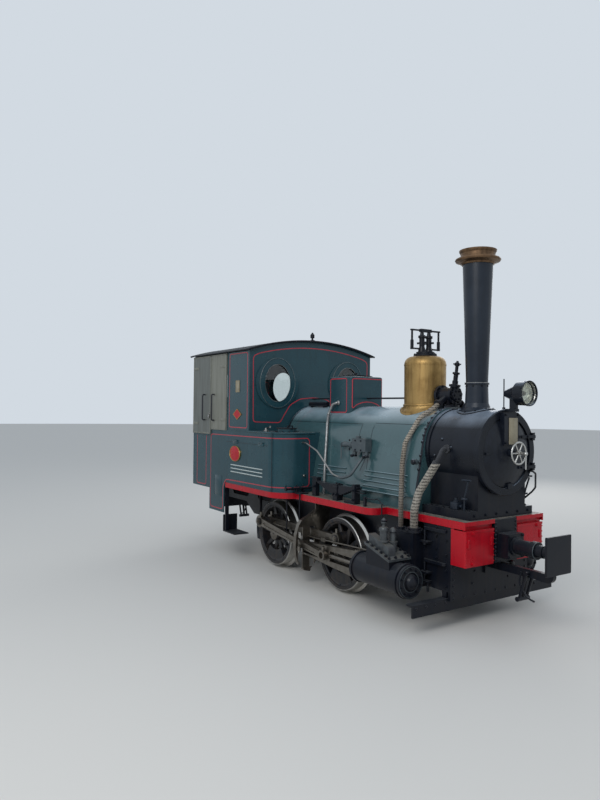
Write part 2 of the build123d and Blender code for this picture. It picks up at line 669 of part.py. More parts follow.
# Smokebox
def smokebox():
    """The smokebox shell with its rear plate and the front ring that the door closes on."""
    shell = turned_x([
        (SMOKEBOX_X0, 0), (SMOKEBOX_X0, SMOKEBOX_R + 10), (SMOKEBOX_X0 + 40, SMOKEBOX_R + 10),
        (SMOKEBOX_X0 + 40, SMOKEBOX_R), (SMOKEBOX_X1 - 10, SMOKEBOX_R), (SMOKEBOX_X1 - 10, RING_R),
        (SMOKEBOX_X1 + RING_T - 8, RING_R), (SMOKEBOX_X1 + RING_T, RING_R - 8),
        (SMOKEBOX_X1 + RING_T, DOOR_R + 8), (SMOKEBOX_X1 + 4, DOOR_R + 8), (SMOKEBOX_X1 + 4, DOOR_R - 22),
        (SMOKEBOX_X1 - 10, DOOR_R - 22), (SMOKEBOX_X1 - 10, SMOKEBOX_R - SMOKEBOX_T),
        (SMOKEBOX_X0 + 16, SMOKEBOX_R - SMOKEBOX_T), (SMOKEBOX_X0 + 16, 0),
    ], 0, 0, BOILER_Z)
    for z in (-130, 130):
        shell += block(SMOKEBOX_X1 + RING_T - 12, SMOKEBOX_X1 + RING_T + 16, 318, 348, BOILER_Z + z - 34, BOILER_Z + z - 14)
        shell += block(SMOKEBOX_X1 + RING_T - 12, SMOKEBOX_X1 + RING_T + 16, 318, 348, BOILER_Z + z + 14, BOILER_Z + z + 34)
    return shell


HINGE_X = SMOKEBOX_X1 + RING_T + 16.0
HINGE_Y = 333.0


def smokebox_door():
    """The dished door with its rim, hinge straps, handwheel and lever."""
    x = SMOKEBOX_X1 + 4 + GAP
    front = SMOKEBOX_X1 + RING_T
    dish = []
    steps = 6
    radius = (DOOR_R ** 2 + DOOR_DISH ** 2) / (2 * DOOR_DISH)
    for n in range(steps + 1):
        r = DOOR_R * (1 - n / steps)
        dish.append((front - 10 + math.sqrt(radius ** 2 - r ** 2) - (radius - DOOR_DISH), r))
    profile = [(x, 0), (x, DOOR_R)] + dish
    body = turned_x(profile, 0, 0, BOILER_Z)
    for z in (-130, 130):
        strap = block(front + 6, front + 30, 120, HINGE_Y - 14, BOILER_Z + z - 12, BOILER_Z + z + 12)
        eye = rod_z(BOILER_Z + z - 13.5, BOILER_Z + z + 13.5, HINGE_X, HINGE_Y, 15)
        link = block(front + 6, front + 30, HINGE_Y - 20, HINGE_Y, BOILER_Z + z - 12, BOILER_Z + z + 12)
        body += strap + eye + link
    hub_x = front + DOOR_DISH - 16
    wheel_x = 2321.0
    lever_x = 2382.0
    body += rod_x(hub_x, lever_x + 6, 0, BOILER_Z, 13)
    body += rod_x(hub_x, hub_x + 30, 0, BOILER_Z, 34)
    ring = Pos(wheel_x, 0, BOILER_Z) * Rot(0, 90, 0) * Torus(90, 8)
    body += ring
    for n in range(6):
        turn = 60 * n + 30
        spoke = Pos(wheel_x, 0, BOILER_Z) * Rot(turn, 0, 0) * (Pos(0, 0, 48) * Cylinder(6.5, 92))
        body += spoke
    body += rod_x(wheel_x - 14, wheel_x + 14, 0, BOILER_Z, 22)
    body += Pos(lever_x + 8, 0, BOILER_Z) * Sphere(17)
    body += rod_z(BOILER_Z - 128, BOILER_Z - 8, lever_x + 8, 0, 7.5)
    body += block(front + 2, front + 46, -94, 88, BOILER_Z + 62, BOILER_Z + 336)
    body += block(front - 11, front + 14, -276, -208, BOILER_Z - 13, BOILER_Z + 5)
    body += block(front - 11, front + 14, -1, 67, BOILER_Z - 282, BOILER_Z - 262)
    body += block(front + 1, front + 14, -1, 67, BOILER_Z - 308, BOILER_Z - 280)
    return body


def smokebox_saddle():
    """The box that carries the smokebox on the platform."""
    body = block(SMOKEBOX_X0 + 12, SMOKEBOX_X1 - 14, -300, 300, PLATFORM_TOP, BOILER_Z - 150)
    body += block(SMOKEBOX_X0 + 12, SMOKEBOX_X1 - 14, -400, 400, PLATFORM_TOP, PLATFORM_TOP + 70)
    body -= rod_x(SMOKEBOX_X0 - 10, SMOKEBOX_X1, 0, BOILER_Z, SMOKEBOX_R + GAP)
    body -= rod_x(SMOKEBOX_X0 - 10, SMOKEBOX_X0 + 40 + GAP, 0, BOILER_Z, SMOKEBOX_R + 10 + GAP)
    return body


def chimney():
    """The chimney barrel: saddle flange, short flared foot, then a pipe that widens upwards."""
    seat = BOILER_Z + SMOKEBOX_R
    seam = 2036.0
    neck = CHIMNEY_TOP - 128
    body = turned_z([
        (0, BOILER_Z + 200), (150, BOILER_Z + 200), (150, seat - 4), (118, seat + 22), (102, seat + 60),
        (96, seam - 8), (106, seam - 8), (106, seam + 6), (95, seam + 6), (132, neck), (0, neck),
    ], CHIMNEY_X)
    body -= turned_z([(0, seat - 300), (80, seat - 300), (80, seam), (116, neck + 1), (0, neck + 1)], CHIMNEY_X)
    body -= rod_x(CHIMNEY_X - 400, CHIMNEY_X + 400, 0, BOILER_Z, SMOKEBOX_R + GAP)
    return body


def chimney_cap():
    """The bright cap: a rolled lower lip, a hollow waist and a flared top edge."""
    z = CHIMNEY_TOP - 128 + GAP
    top = CHIMNEY_TOP
    return turned_z([
        (116, z), (140, z), (150, z + 14), (192, z + 30), (199, z + 42), (194, z + 52), (158, z + 60),
        (150, z + 78), (152, z + 98), (162, top - 12), (164, top), (146, top), (136, z + 90), (118, z + 40),
    ], CHIMNEY_X)


def steam_dome():
    """The bright dome: flared foot on the boiler, straight barrel, rounded shoulder, nearly flat top."""
    seat = BOILER_Z + CLAD_R
    top = DOME_TOP
    profile = [
        Line((0, seat - 120), (226, seat - 120)),
        Line((226, seat - 120), (226, seat - 48)),
        Line((226, seat - 48), (206, seat - 20)),
        Line((206, seat - 20), (DOME_R - 2, seat + 20)),
        Line((DOME_R - 2, seat + 20), (DOME_R, top - 90)),
        ThreePointArc((DOME_R, top - 90), (DOME_R - 22, top - 30), (DOME_R - 74, top - 8)),
        Line((DOME_R - 74, top - 8), (0, top)),
        Line((0, top), (0, seat - 120)),
    ]
    body = Pos(DOME_X, 0, 0) * revolve(Plane.XZ * make_face(profile), axis=Axis.Z)
    body -= rod_x(DOME_X - 400, DOME_X + 400, 0, BOILER_Z, CLAD_R + GAP)
    return body


def safety_valves():
    """Two valve columns on a base plate, with spring cases, cross bar and long levers to each side."""
    z = DOME_TOP + GAP - 4
    body = Pos(DOME_X, 0, z + 8) * Cylinder(112, 16)
    body -= turned_z([(0, DOME_TOP - 60), (DOME_R - 74, DOME_TOP - 8 + GAP), (0, DOME_TOP + GAP)], DOME_X)
    body += rod_z(z + 12, z + 40, DOME_X, 0, 88)
    for y in (-46, 46):
        body += turned_z([
            (0, z + 36), (40, z + 36), (34, z + 60), (26, z + 90), (26, z + 170), (36, z + 176), (36, z + 196),
            (20, z + 204), (14, z + 250), (0, z + 250),
        ], DOME_X, y)
        body += block(DOME_X - 60, DOME_X + 60, y - 9, y + 9, z + 118, z + 136)
    body += block(DOME_X - 16, DOME_X + 16, -70, 70, z + 232, z + 262)
    for s in (-1, 1):
        body += block(DOME_X - 12, DOME_X + 12, min(s * 60, s * 190), max(s * 60, s * 190), z + 240, z + 254)
        body += rod_z(z + 150, z + 246, DOME_X, s * 176, 10)
        body += rod_z(z + 60, z + 150, DOME_X, s * 176, 16)
        body += block(DOME_X - 10, DOME_X + 10, min(s * 70, s * 190), max(s * 70, s * 190), z + 62, z + 76)
        body += block(DOME_X - 12, DOME_X + 12, min(s * 20, s * 90), max(s * 20, s * 90), z + 60, z + 78)
    return body


def regulator_housing():
    """The stepped drum on the boiler top with its foot, two branches and the tall valve column."""
    x0, x1 = TURRET_X
    body = turned_x([
        (x0, 0), (x0, 95), (x0 + 26, 95), (x0 + 26, 74), (x0 + 160, 70), (x0 + 160, 84), (x1 - 24, 84),
        (x1 - 24, 60), (x1, 56), (x1, 0),
    ], 0, 0, TURRET_Z)
    foot = block(x0 + 40, x1 - 52, -62, 62, BOILER_Z + CLAD_R - 60, TURRET_Z - 40)
    foot += rod_z(BOILER_Z + CLAD_R - 60, BOILER_Z + CLAD_R + 14, (x0 + x1) / 2 - 6, 0, 96)
    body += foot - plate_x(cladding_face(GAP), x0 - 200, x1 + 200)
    column = turned_z([
        (0, 0), (40, 0), (40, 70), (52, 74), (52, 96), (27, 102), (27, 128), (21, 132), (21, 184), (33, 190),
        (33, 206), (15, 212), (15, 262), (24, 268), (24, 290), (12, 300), (9, 312), (0, 312),
    ])
    column += Pos(0, 0, 282) * Rot(90, 0, 0) * Cylinder(7, 92)
    body += Pos(x0 + 160, 0, TURRET_Z + 6) * Rot(0, 8, 0) * column
    x = x0 + 105
    for s in (-1, 1):
        body += bar((x, s * 20, TURRET_Z - 12), (x, s * 150, TURRET_Z - 89), 32)
        body += bar((x, s * 136, TURRET_Z - 80.7), (x, s * 150, TURRET_Z - 89), 46)
    return body


def steam_pipe():
    """The lagged live-steam pipe down the left side, from the drum's branch to the steam box."""
    x = TURRET_X[0] + 105
    z = BOILER_Z
    points = [
        (x, 150 + 0.8 * GAP, TURRET_Z - 89 - 0.5 * GAP), (x, 210, TURRET_Z - 124.6), (x - 55, 325, z + 272),
        (x - 130, 425, z + 50), (x - 140, 450, z - 140), (STEAM_X - 72, 490, z - 360),
        (STEAM_X - 12, STEAM_Y - 10, z - 490), (STEAM_X, STEAM_Y, z - 590),
        (STEAM_X, STEAM_Y, STEAM_BOX_TOP + 22 + GAP),
    ]
    return pipe(points, [70, 110, 130, 180, 120, 80, 90], STEAM_R)


def exhaust_pipe():
    """The thick lagged exhaust pipe from the steam box, and the thinner elbow into the smokebox."""
    z = BOILER_Z
    x = EXHAUST_X
    lagged = pipe([
        (x, EXHAUST_Y, STEAM_BOX_TOP + 36 + GAP), (x, EXHAUST_Y, z - 520), (x + 14, 515, z - 370),
        (x + 96, 484, z - 225), (x + 172, 458, z - 96),
    ], [150, 160, 260], EXHAUST_R)
    elbow = pipe([
        (x + 164, 461, z - 110), (x + 192, 448, z - 40), (x + 192, 410, z + 19), (x + 192, 330, z + 19),
    ], [40, 40], 17)
    elbow += rod_y(340, 372, x + 192, z + 19, 36)
    elbow -= rod_x(x - 100, x + 400, 0, BOILER_Z, SMOKEBOX_R + GAP)
    return lagged + elbow


def sand_pipe():
    """The thin pipe from the side of the top box down the boiler's flank to the platform."""
    x, z = TOP_BOX_X[0], BOILER_Z
    return pipe([
        (x + 202, TOP_BOX_HALF_W + GAP, z + 415), (x + 202, TOP_BOX_HALF_W + 27, z + 415),
        (x + 147, 272, z + 395), (x + 92, 283, z + 295),
        (x + 174, 358, z + 201), (x + 234, 412, z + 15), (x + 266, 449, z - 190), (x + 290, 470, z - 298),
        (x + 297, 485, PLATFORM_TOP + 2 * GAP),
    ], [18, 34, 34, 90, 150, 300, 300], 11)


def feed_pipe():
    """The bright pipe that leaves the tank's front, sags beside the boiler and rises to the feed valve."""
    x, z = TANK_X1, BOILER_Z
    return pipe([
        (x + GAP, 600, z - 16), (x + 60, 600, z - 16), (x + 274, 600, z - 90), (x + 400, 600, z - 189),
        (x + 539, 598, z - 304), (x + 690, 594, z - 332), (x + 811, 580, z - 296), (FEED_X[1] - 50, 500, z - 160),
        (FEED_X[1] - 50, FEED_Y - 5, z - 110), (FEED_X[1] - 50, FEED_Y - 5, z - 65 - GAP),
    ], [120, 160, 300, 150, 110, 80, 50, 18], 9)


def feed_valve():
    """The feed valve body on the boiler's flank with its nozzle, lever, bosses and test knobs."""
    x0, x1 = FEED_X
    y, z = FEED_Y, BOILER_Z
    body = block(x0, x1, y - 60, y + 18, z - 65, z + 60)
    body += rod_z(z + 50, z + 84, x0 + 60, y - 17, 26)
    body += turned_x([
        (x0 - 190, 0), (x0 - 190, 24), (x0 - 160, 30), (x0 - 100, 21), (x0 - 66, 21), (x0 - 60, 34), (x0 - 30, 34),
        (x0 - 26, 28), (x0 + 2, 28), (x0 + 2, 0),
    ], 0, y - 17, z - 10)
    body += rod_x(x0 - 222, x0 - 188, y - 17, z - 10, 9)
    body += bar((x0 - 214, y - 14, z - 10), (x0 - 180, y + 13, z - 157), 6)
    for x, drop in ((x0 + 15, 110), (x1 - 12, 112)):
        body += rod_z(z - drop, z - 60, x, y - 5, 17)
        body += rod_z(z - drop + 18, z - drop + 32, x, y - 5, 23)
    body += bar((x1 - 12, y - 5, z - 106), (x1 - 64, y + 33, z - 250), 5)
    return body - plate_x(cladding_face(GAP), x0 - 300, x1 + 100)


def gauge_cock():
    """The double knob on the boiler's flank just behind the smokebox."""
    x, z = SMOKEBOX_X0 - 32, BOILER_Z - 110
    knob = turned_y([(380, 0), (380, 13), (440, 13), (440, 24), (456, 24), (460, 14), (466, 14), (470, 22),
                     (487, 20), (487, 0)], x, 0, z)
    return knob - plate_x(cladding_face(GAP), x - 100, x + 100)


def boiler_rods():
    """The regulator rod over the boiler in two lengths, and the lubricator barrel beside it."""
    z = BOILER_Z + 465
    dome_end = DOME_X - DOME_R + 0.6
    front = rod_x(TOP_BOX_X[1] + GAP, dome_end, 0, z, 9) + rod_x(dome_end - 36, dome_end, 0, z, 17)
    rear = rod_x(CAB_X1 + GAP, TOP_BOX_X[0] - GAP, 0, z, 9)
    barrel = rod_x(CAB_X1 + 90, CAB_X1 + 443, -100, BOILER_Z + 400, 28)
    for x in (CAB_X1 + 140, CAB_X1 + 390):
        barrel += block(x - 20, x + 20, -120, -80, BOILER_Z + CLAD_R - 40, BOILER_Z + 400)
    return [front, rear, barrel - plate_x(cladding_face(GAP), CAB_X1, CAB_X1 + 600)]


def front_pipes():
    """Pipes at the front: the bent one beside the smokebox, and the brake pipe's elbow under the beam box."""
    x, z = SMOKEBOX_X1, BOILER_Z
    bent = pipe([
        (x + RING_T + GAP, 300, z - 168), (x + 64, 300, z - 168), (x + 64, 340, z - 190), (x + 64, 340, z - 310),
        (x + 30, 340, z - 350), (x - 85, 340, PLATFORM_TOP + 105), (x - 85, 340, PLATFORM_TOP + 70 + GAP),
    ], [12, 12, 24, 20, 15], 8)
    cup = turned_z([(0, 400), (36, 400), (40, 412), (36, 424), (20, 428), (20, 450), (0, 450)], BEAM_X + 70, 195)
    elbow = cup + pipe([(BEAM_X + 70, 195, 445), (BEAM_X + 70, 195, 500), (BEAM_X + GAP, 195, 500)], [30], 19)
    return [bent, elbow]


# Feed valve
FEED_X = (700.0, 910.0)
FEED_Y = 457.0


# Headlamp
LAMP_Z = 1945.0
LAMP_X = 2190.0


def headlamp():
    """A bracket on the smokebox ring, a post and a conical lamp with a deep rim."""
    front = SMOKEBOX_X1 + RING_T + GAP
    top = BOILER_Z + RING_R
    x = LAMP_X
    body = block(front, x + 110, -28, 28, top - 22, top + 2)
    body += block(x + 45, x + 110, -15, 15, top, LAMP_Z - 30)
    body += turned_x([
        (x, 0), (x, 30), (x + 30, 42), (x + 112, 74), (x + 134, 98), (x + 214, 100), (x + 220, 105), (x + 234, 105),
        (x + 234, 97), (x + 220, 95), (x + 214, 94), (x + 206, 94), (x + 150, 88), (x + 130, 56), (x + 130, 0),
    ], 0, 0, LAMP_Z)
    return body


def lamp_rod():
    """The thin upright rod behind the lamp, on its foot."""
    x = SMOKEBOX_X1 - 4
    body = rod_z(BOILER_Z + RING_R - 20, BOILER_Z + RING_R + 14, x, 0, 13)
    body += rod_z(BOILER_Z + RING_R, BOILER_Z + 621, x, 0, 5)
    return body - rod_x(x - 60, x + 60, 0, BOILER_Z, RING_R + GAP)


def lamp_glass():
    """The lamp's front lens."""
    return rod_x(LAMP_X + 206 + GAP, LAMP_X + 212, 0, LAMP_Z, 94 - GAP)


# Top box
TOP_BOX_X = (-52.0, 361.0)
TOP_BOX_HALF_W = 229.0
TOP_BOX_TOP = 2150.0
MOUTH_R = 150.0


def top_box():
    """The rounded box that sits astride the boiler, with a round mouth in its top."""
    x0, x1 = TOP_BOX_X
    w = TOP_BOX_HALF_W
    body = block(x0, x1, -w, w, BOILER_Z + 200, TOP_BOX_TOP)
    body = fillet(body.edges().filter_by(Axis.Z), 46)
    body = fillet(body.edges().group_by(Axis.Z)[-1], 18)
    inner = block(x0 + 10, x1 - 10, -w + 10, w - 10, BOILER_Z + CLAD_R + 14, TOP_BOX_TOP - 10)
    body -= fillet(inner.edges().filter_by(Axis.Z), 36)
    body -= rod_z(TOP_BOX_TOP - 40, TOP_BOX_TOP + 10, (x0 + x1) / 2, 0, MOUTH_R)
    return body - rod_x(x0 - 10, x1 + 10, 0, BOILER_Z, CLAD_R + GAP)


def top_box_lid():
    """The round two-step lid of the top box with its hinge barrel and handle."""
    x = (TOP_BOX_X[0] + TOP_BOX_X[1]) / 2
    z = TOP_BOX_TOP + GAP
    lid = rod_z(z, z + 10, x, 0, MOUTH_R + 35)
    lid += rod_z(z + 8, z + 18, x, 0, MOUTH_R - 25)
    lid += rod_y(-34, 34, x - MOUTH_R - 42.5, z + 8.3, 8)
    lid += block(x - MOUTH_R - 42.5, x - MOUTH_R - 20, -30, 30, z + 2, z + 10)
    return lid + rod_z(z + 16, z + 40, x, 0, 14) + rod_z(z + 36, z + 46, x, 0, 24)


# Side tanks
def side_tank():
    """The left side tank, with its large rounded front corner, fitted round the boiler."""
    r = TANK_CORNER_R
    x0, x1 = DOOR_X[2] + 12, TANK_X1
    edges = [
        Line((x0, 300), (x0, CAB_HALF_W)),
        Line((x0, CAB_HALF_W), (x1 - r, CAB_HALF_W)),
        RadiusArc((x1 - r, CAB_HALF_W), (x1, CAB_HALF_W - r), r),
        Line((x1, CAB_HALF_W - r), (x1, 300)),
        Line((x1, 300), (x0, 300)),
    ]
    body = plate_z(make_face(edges), PLATFORM_TOP, TANK_TOP)
    body -= plate_x(cladding_face(GAP), x0 - 5, x1 + 5)
    body -= block(x0 - 5, x1 + 5, 0, 320, 800, 1700)
    body -= block(x0 - 5, CLAD_X0 - GAP, 0, 560, 800, 1700)
    return body


FILLER_X = -250.0
FILLER_Y = 640.0


def tank_filler(side):
    """The low neck on the tank top that the filler lid closes."""
    neck = rod_z(TANK_TOP, TANK_TOP + 34, FILLER_X, FILLER_Y, 105) - rod_z(
        TANK_TOP - 1, TANK_TOP + 40, FILLER_X, FILLER_Y, 92)
    return neck if side > 0 else other_side(neck)


def tank_lid(side):
    """The filler lid with its hinge tongue and handle."""
    z = TANK_TOP + 34 + GAP
    lid = rod_z(z, z + 10, FILLER_X, FILLER_Y, 112)
    lid += block(FILLER_X - 130, FILLER_X - 90, FILLER_Y - 22, FILLER_Y + 22, z, z + 10)
    lid += block(FILLER_X + 60, FILLER_X + 76, FILLER_Y - 34, FILLER_Y + 34, z + 26, z + 36)
    for y in (-34, 26):
        lid += block(FILLER_X + 60, FILLER_X + 76, FILLER_Y + y, FILLER_Y + y + 8, z + 8, z + 30)
    return lid if side > 0 else other_side(lid)


# Cab
def roof_radius():
    """Radius of the roof's underside."""
    rise = APEX_Z - EAVE_Z
    return (CAB_HALF_W ** 2 + rise ** 2) / (2 * rise)


def roof_z(y, drop=0.0):
    """Height of the roof's underside at a distance from the centre line."""
    radius = roof_radius()
    return APEX_Z - radius + math.sqrt(radius ** 2 - y ** 2) - drop


def end_wall(x0, x1, hole):
    """A cab end wall in (Y, Z) under the curved roof, with two round windows."""
    w = CAB_HALF_W - SHEET_T - GAP
    face = make_face([
        Line((-w, PLATFORM_TOP), (w, PLATFORM_TOP)),
        Line((w, PLATFORM_TOP), (w, roof_z(w, GAP))),
        ThreePointArc((w, roof_z(w, GAP)), (0, roof_z(0, GAP)), (-w, roof_z(w, GAP))),
        Line((-w, roof_z(w, GAP)), (-w, PLATFORM_TOP)),
    ])
    for y in (-WINDOW_Y, WINDOW_Y):
        face -= Pos(y, WINDOW_Z) * Circle(WINDOW_R)
    if hole is not None:
        face -= hole
    return plate_x(face, x0, x1)


def cab_front():
    """The front wall, cut over boiler and tanks."""
    low = Pos(0, TANK_TOP / 2) * Rectangle(2 * CAB_HALF_W, TANK_TOP + 2 * GAP)
    return end_wall(CAB_X1 - SHEET_T, CAB_X1, low + cladding_face(GAP) + Pos(0, BOILER_Z) * Circle(CLAD_R + GAP))


def cab_rear():
    """The rear wall."""
    return end_wall(CAB_X0, CAB_X0 + SHEET_T, None)


def cab_side(side):
    """A side sheet: low apron, waist panel and the tall panel in front of the doors."""
    x0, x1 = CAB_X0, CAB_X1
    face = outline([
        (x0, 790), (DOOR_X[1] - 34, 790), (DOOR_X[1] - 34, 530), (STEP_X, 530), (STEP_X, 842), (STEP_X + 16, 868),
        (STEP_X + 16, PLATFORM_TOP + 4), (DOOR_X[2] + 12 - GAP, PLATFORM_TOP + 4), (DOOR_X[2] + 12 - GAP, TANK_TOP + GAP),
        (x1, TANK_TOP + GAP), (x1, EAVE_Z - 14), (DOOR_X[2], EAVE_Z - 14), (DOOR_X[2], WAIST_Z + 62),
        (DOOR_X[1], WAIST_Z + 62), (DOOR_X[1], WAIST_Z), (x0, WAIST_Z),
    ])
    sheet = plate_y(face, CAB_HALF_W - SHEET_T, CAB_HALF_W)
    post = block(x0, x0 + 40, CAB_HALF_W - SHEET_T - 30, CAB_HALF_W - SHEET_T + 1, WAIST_Z, EAVE_Z - 14)
    rail = block(x0, x1, CAB_HALF_W - SHEET_T - 30, CAB_HALF_W - SHEET_T + 1, EAVE_Z - 44, EAVE_Z - 14)
    whole = sheet + post + rail
    whole -= block(x0 - 1, x0 + SHEET_T + GAP, 0, CAB_HALF_W - SHEET_T, 0, APEX_Z)
    whole -= block(x1 - SHEET_T - GAP, x1 + 1, 0, CAB_HALF_W - SHEET_T, 0, APEX_Z)
    return whole if side > 0 else other_side(whole)


def cab_door(side, leaf):
    """A door leaf with its stiffening edge and a long bar handle: leaf 0 is the rear one."""
    x0 = DOOR_X[leaf] + 3
    x1 = DOOR_X[leaf + 1] - 3
    z0 = (WAIST_Z - 4, WAIST_Z + 58)[leaf]
    y = CAB_HALF_W + GAP
    body = block(x0, x1, y, y + 14, z0, EAVE_Z - 18)
    centre = (DOOR_X[1] - 150, DOOR_X[1] + 110)[leaf]
    foot, head = 1640, 1960
    grip = pipe([
        (centre, y + 13, foot), (centre, y + 58, foot), (centre, y + 58, head), (centre, y + 13, head),
    ], [18, 18], 9)
    body += grip
    return body if side > 0 else other_side(body)


def cab_roof():
    """The arched roof sheet with its rain strips and side gutters."""
    w = CAB_HALF_W + ROOF_HANG
    radius = roof_radius()
    cz = APEX_Z - radius
    inner_end = cz + math.sqrt(radius ** 2 - w ** 2)
    outer = radius + ROOF_T
    outer_end = cz + math.sqrt(outer ** 2 - w ** 2)
    face = make_face([
        Line((-w, inner_end), (-w, outer_end)),
        ThreePointArc((-w, outer_end), (0, cz + outer), (w, outer_end)),
        Line((w, outer_end), (w, inner_end)),
        ThreePointArc((w, inner_end), (0, APEX_Z), (-w, inner_end)),
    ])
    return plate_x(face, CAB_X0 - 45, CAB_X1 + 45)


def cab_floor():
    """The cab floor behind the platform plate."""
    w = CAB_HALF_W - SHEET_T - GAP
    return block(CAB_X0 + SHEET_T + GAP, STEP_X - GAP, -w, w, FRAME_TOP + GAP, PLATFORM_TOP - GAP)


def backhead():
    """The boiler's back plate in the cab, with fire door, gauge glass and regulator handle."""
    x = CLAD_X0 - GAP
    body = plate_x(cladding_face(), x - 190, x)
    body += rod_x(x - 214, x - 188, 0, 1180, 130)
    body += rod_x(x - 240, x - 188, 0, BOILER_Z + 120, 26)
    body += block(x - 240, x - 222, -14, 200, BOILER_Z + 106, BOILER_Z + 134)
    for y in (-230, 230):
        body += rod_z(BOILER_Z - 60, BOILER_Z + 160, x - 214, y, 11)
        for z in (BOILER_Z - 50, BOILER_Z + 150):
            body += rod_x(x - 222, x - 188, y, z, 14)
    return body


def window_ring(y, x, sign):
    """The bolted ring round a cab window, outside the wall."""
    ring = rod_x(0, 12, 0, 0, 292) - rod_x(-1, 13, 0, 0, WINDOW_R - 14)
    if sign < 0:
        ring = Pos(-12, 0, 0) * ring
    return Pos(x + sign * GAP, y, WINDOW_Z) * ring


def window_pane(y, x):
    """The glass of a cab window."""
    return rod_x(x, x + 5, y, WINDOW_Z, WINDOW_R - GAP)


# Springs, brakes and small gear
def leaf_spring():
    """The laminated spring on the left platform with its buckle, rear post and front bracket."""
    x, y0, y1 = SPRING_X, 585.0, 645.0
    half, sag, leaf_t, count = 340.0, 12.0, 11.0, 8
    top = PLATFORM_TOP + 150
    body = block(x - 34, x + 34, y0 - 8, y1 + 8, PLATFORM_TOP, top + 10)
    for n in range(count):
        reach = half - 34 * n
        low = top - leaf_t * (n + 1)
        edge = sag * (reach / half) ** 2
        face = make_face([
            ThreePointArc((x - reach, low + edge), (x, low), (x + reach, low + edge)),
            Line((x + reach, low + edge), (x + reach, low + edge + leaf_t)),
            ThreePointArc((x + reach, low + edge + leaf_t), (x, low + leaf_t), (x - reach, low + edge + leaf_t)),
            Line((x - reach, low + edge + leaf_t), (x - reach, low + edge)),
        ])
        body += plate_y(face, y0, y1)
    body += block(x - half - 66, x - half - 4, y0 + 6, y1 - 6, PLATFORM_TOP, top + 34)
    body += block(x - half - 110, x - half + 22, y0, y1, top + 34, top + 44)
    body += block(x - half - 10, x - half + 22, y0 + 4, y1 - 4, top + 10, top + 36)
    body += block(x + half - 60, x + half - 20, y0 + 6, y1 + 15, PLATFORM_TOP, top + 36)
    body += block(x + half - 180, x + half - 20, y0 + 20, y1 + 15, PLATFORM_TOP, PLATFORM_TOP + 20)
    for z in (PLATFORM_TOP + 109, PLATFORM_TOP + 131):
        body += block(x + half - 30, x + half + 90, y0 + 24, y1 - 4, z, z + 9)
    return body


def cross_shaft():
    """The grey shaft across the platform beside the tank, in two bearings on a rounded plate."""
    plate = Pos(76, 655) * RectangleRounded(122, 130, 30)
    body = plate_z(plate, PLATFORM_TOP, PLATFORM_TOP + 12)
    for y in (606, 690):
        body += block(30, 70, y, y + 16, PLATFORM_TOP + 10, PLATFORM_TOP + 62)
    body += rod_y(513, 843, 50, PLATFORM_TOP + 52, 12)
    for y in (520, 640, 740, 826):
        body += rod_y(y, y + 17, 50, PLATFORM_TOP + 52, 20)
    body += rod_z(576, PLATFORM_TOP + 4, 118, 703, 8)
    return body


def drain_rods():
    """The hanger under the tank, and the rod and crank that work the cylinder drains."""
    hanger = rod_z(323, PLATFORM_TOP - PLATFORM_T, -128, 703, 8)
    hanger += rod_y(690, 716, -128, 330, 14)
    crank = rod_z(636, 950, 1350, 640, 6) + block(1340, CHEST_X[0] - 12 - GAP, 630, 650, 632, 645)
    crank += block(1100, 1128, 630, 650, PLATFORM_TOP, 986)
    crank += pipe([(1114, 640, 978), (1256, 640, 978), (1284, 640, 994), (1384, 640, 939)], [30, 20], 5)
    crank += rod_y(628, 652, 1114, 978, 12)
    return [hanger, crank]


def brake_gear(side):
    """Brake block and hanger behind each rear wheel tread, with the cross shaft between them."""
    x = REAR_AXLE_X - TREAD_R - 14
    y0, y1 = WHEEL_IN + 34, WHEEL_OUT - 8
    block_face = Pos(REAR_AXLE_X, AXLE_Z) * (Circle(TREAD_R + 60) - Circle(TREAD_R + 8))
    block_face &= Pos(x - 24, AXLE_Z) * Rectangle(110, 260)
    shoe = plate_y(block_face, y0, y1)
    hanger = block(x - 48, x - 30, y0 + 20, y0 + 50, AXLE_Z - 60, PLATFORM_TOP - PLATFORM_T - GAP)
    body = shoe + hanger
    return body if side > 0 else other_side(body)


def cab_steps(side):
    """The footstep below each cab entrance."""
    y0, y1 = CAB_HALF_W - 200, CAB_HALF_W - 12
    plate = block(STEP_X - 38, STEP_X + 262, y0, y1, STEP_Z, STEP_Z + 12)
    plate += block(STEP_X - 38, STEP_X - 26, y0, y1, STEP_Z, STEP_Z + 200)
    hang = block(STEP_X, STEP_X + 20, CAB_HALF_W - 60, PLATFORM_HALF_W[0] - 4, STEP_Z, FRAME_TOP)
    body = plate + hang
    return body if side > 0 else other_side(body)


def whistle():
    """The small lantern-shaped whistle on the cab roof."""
    z = APEX_Z + ROOF_T
    return turned_z([
        (0, z - 2), (34, z - 2), (34, z + 10), (12, z + 16), (12, z + 34), (26, z + 40), (26, z + 78),
        (14, z + 90), (8, z + 104), (0, z + 104),
    ], CAB_X1 - 30, 0) - rod_x(CAB_X1 - 200, CAB_X1 + 100, 0, APEX_Z - roof_radius(), roof_radius() + ROOF_T + GAP)


def pair(shape):
    """A left-hand piece and its mirror image."""
    return [shape, other_side(shape)]


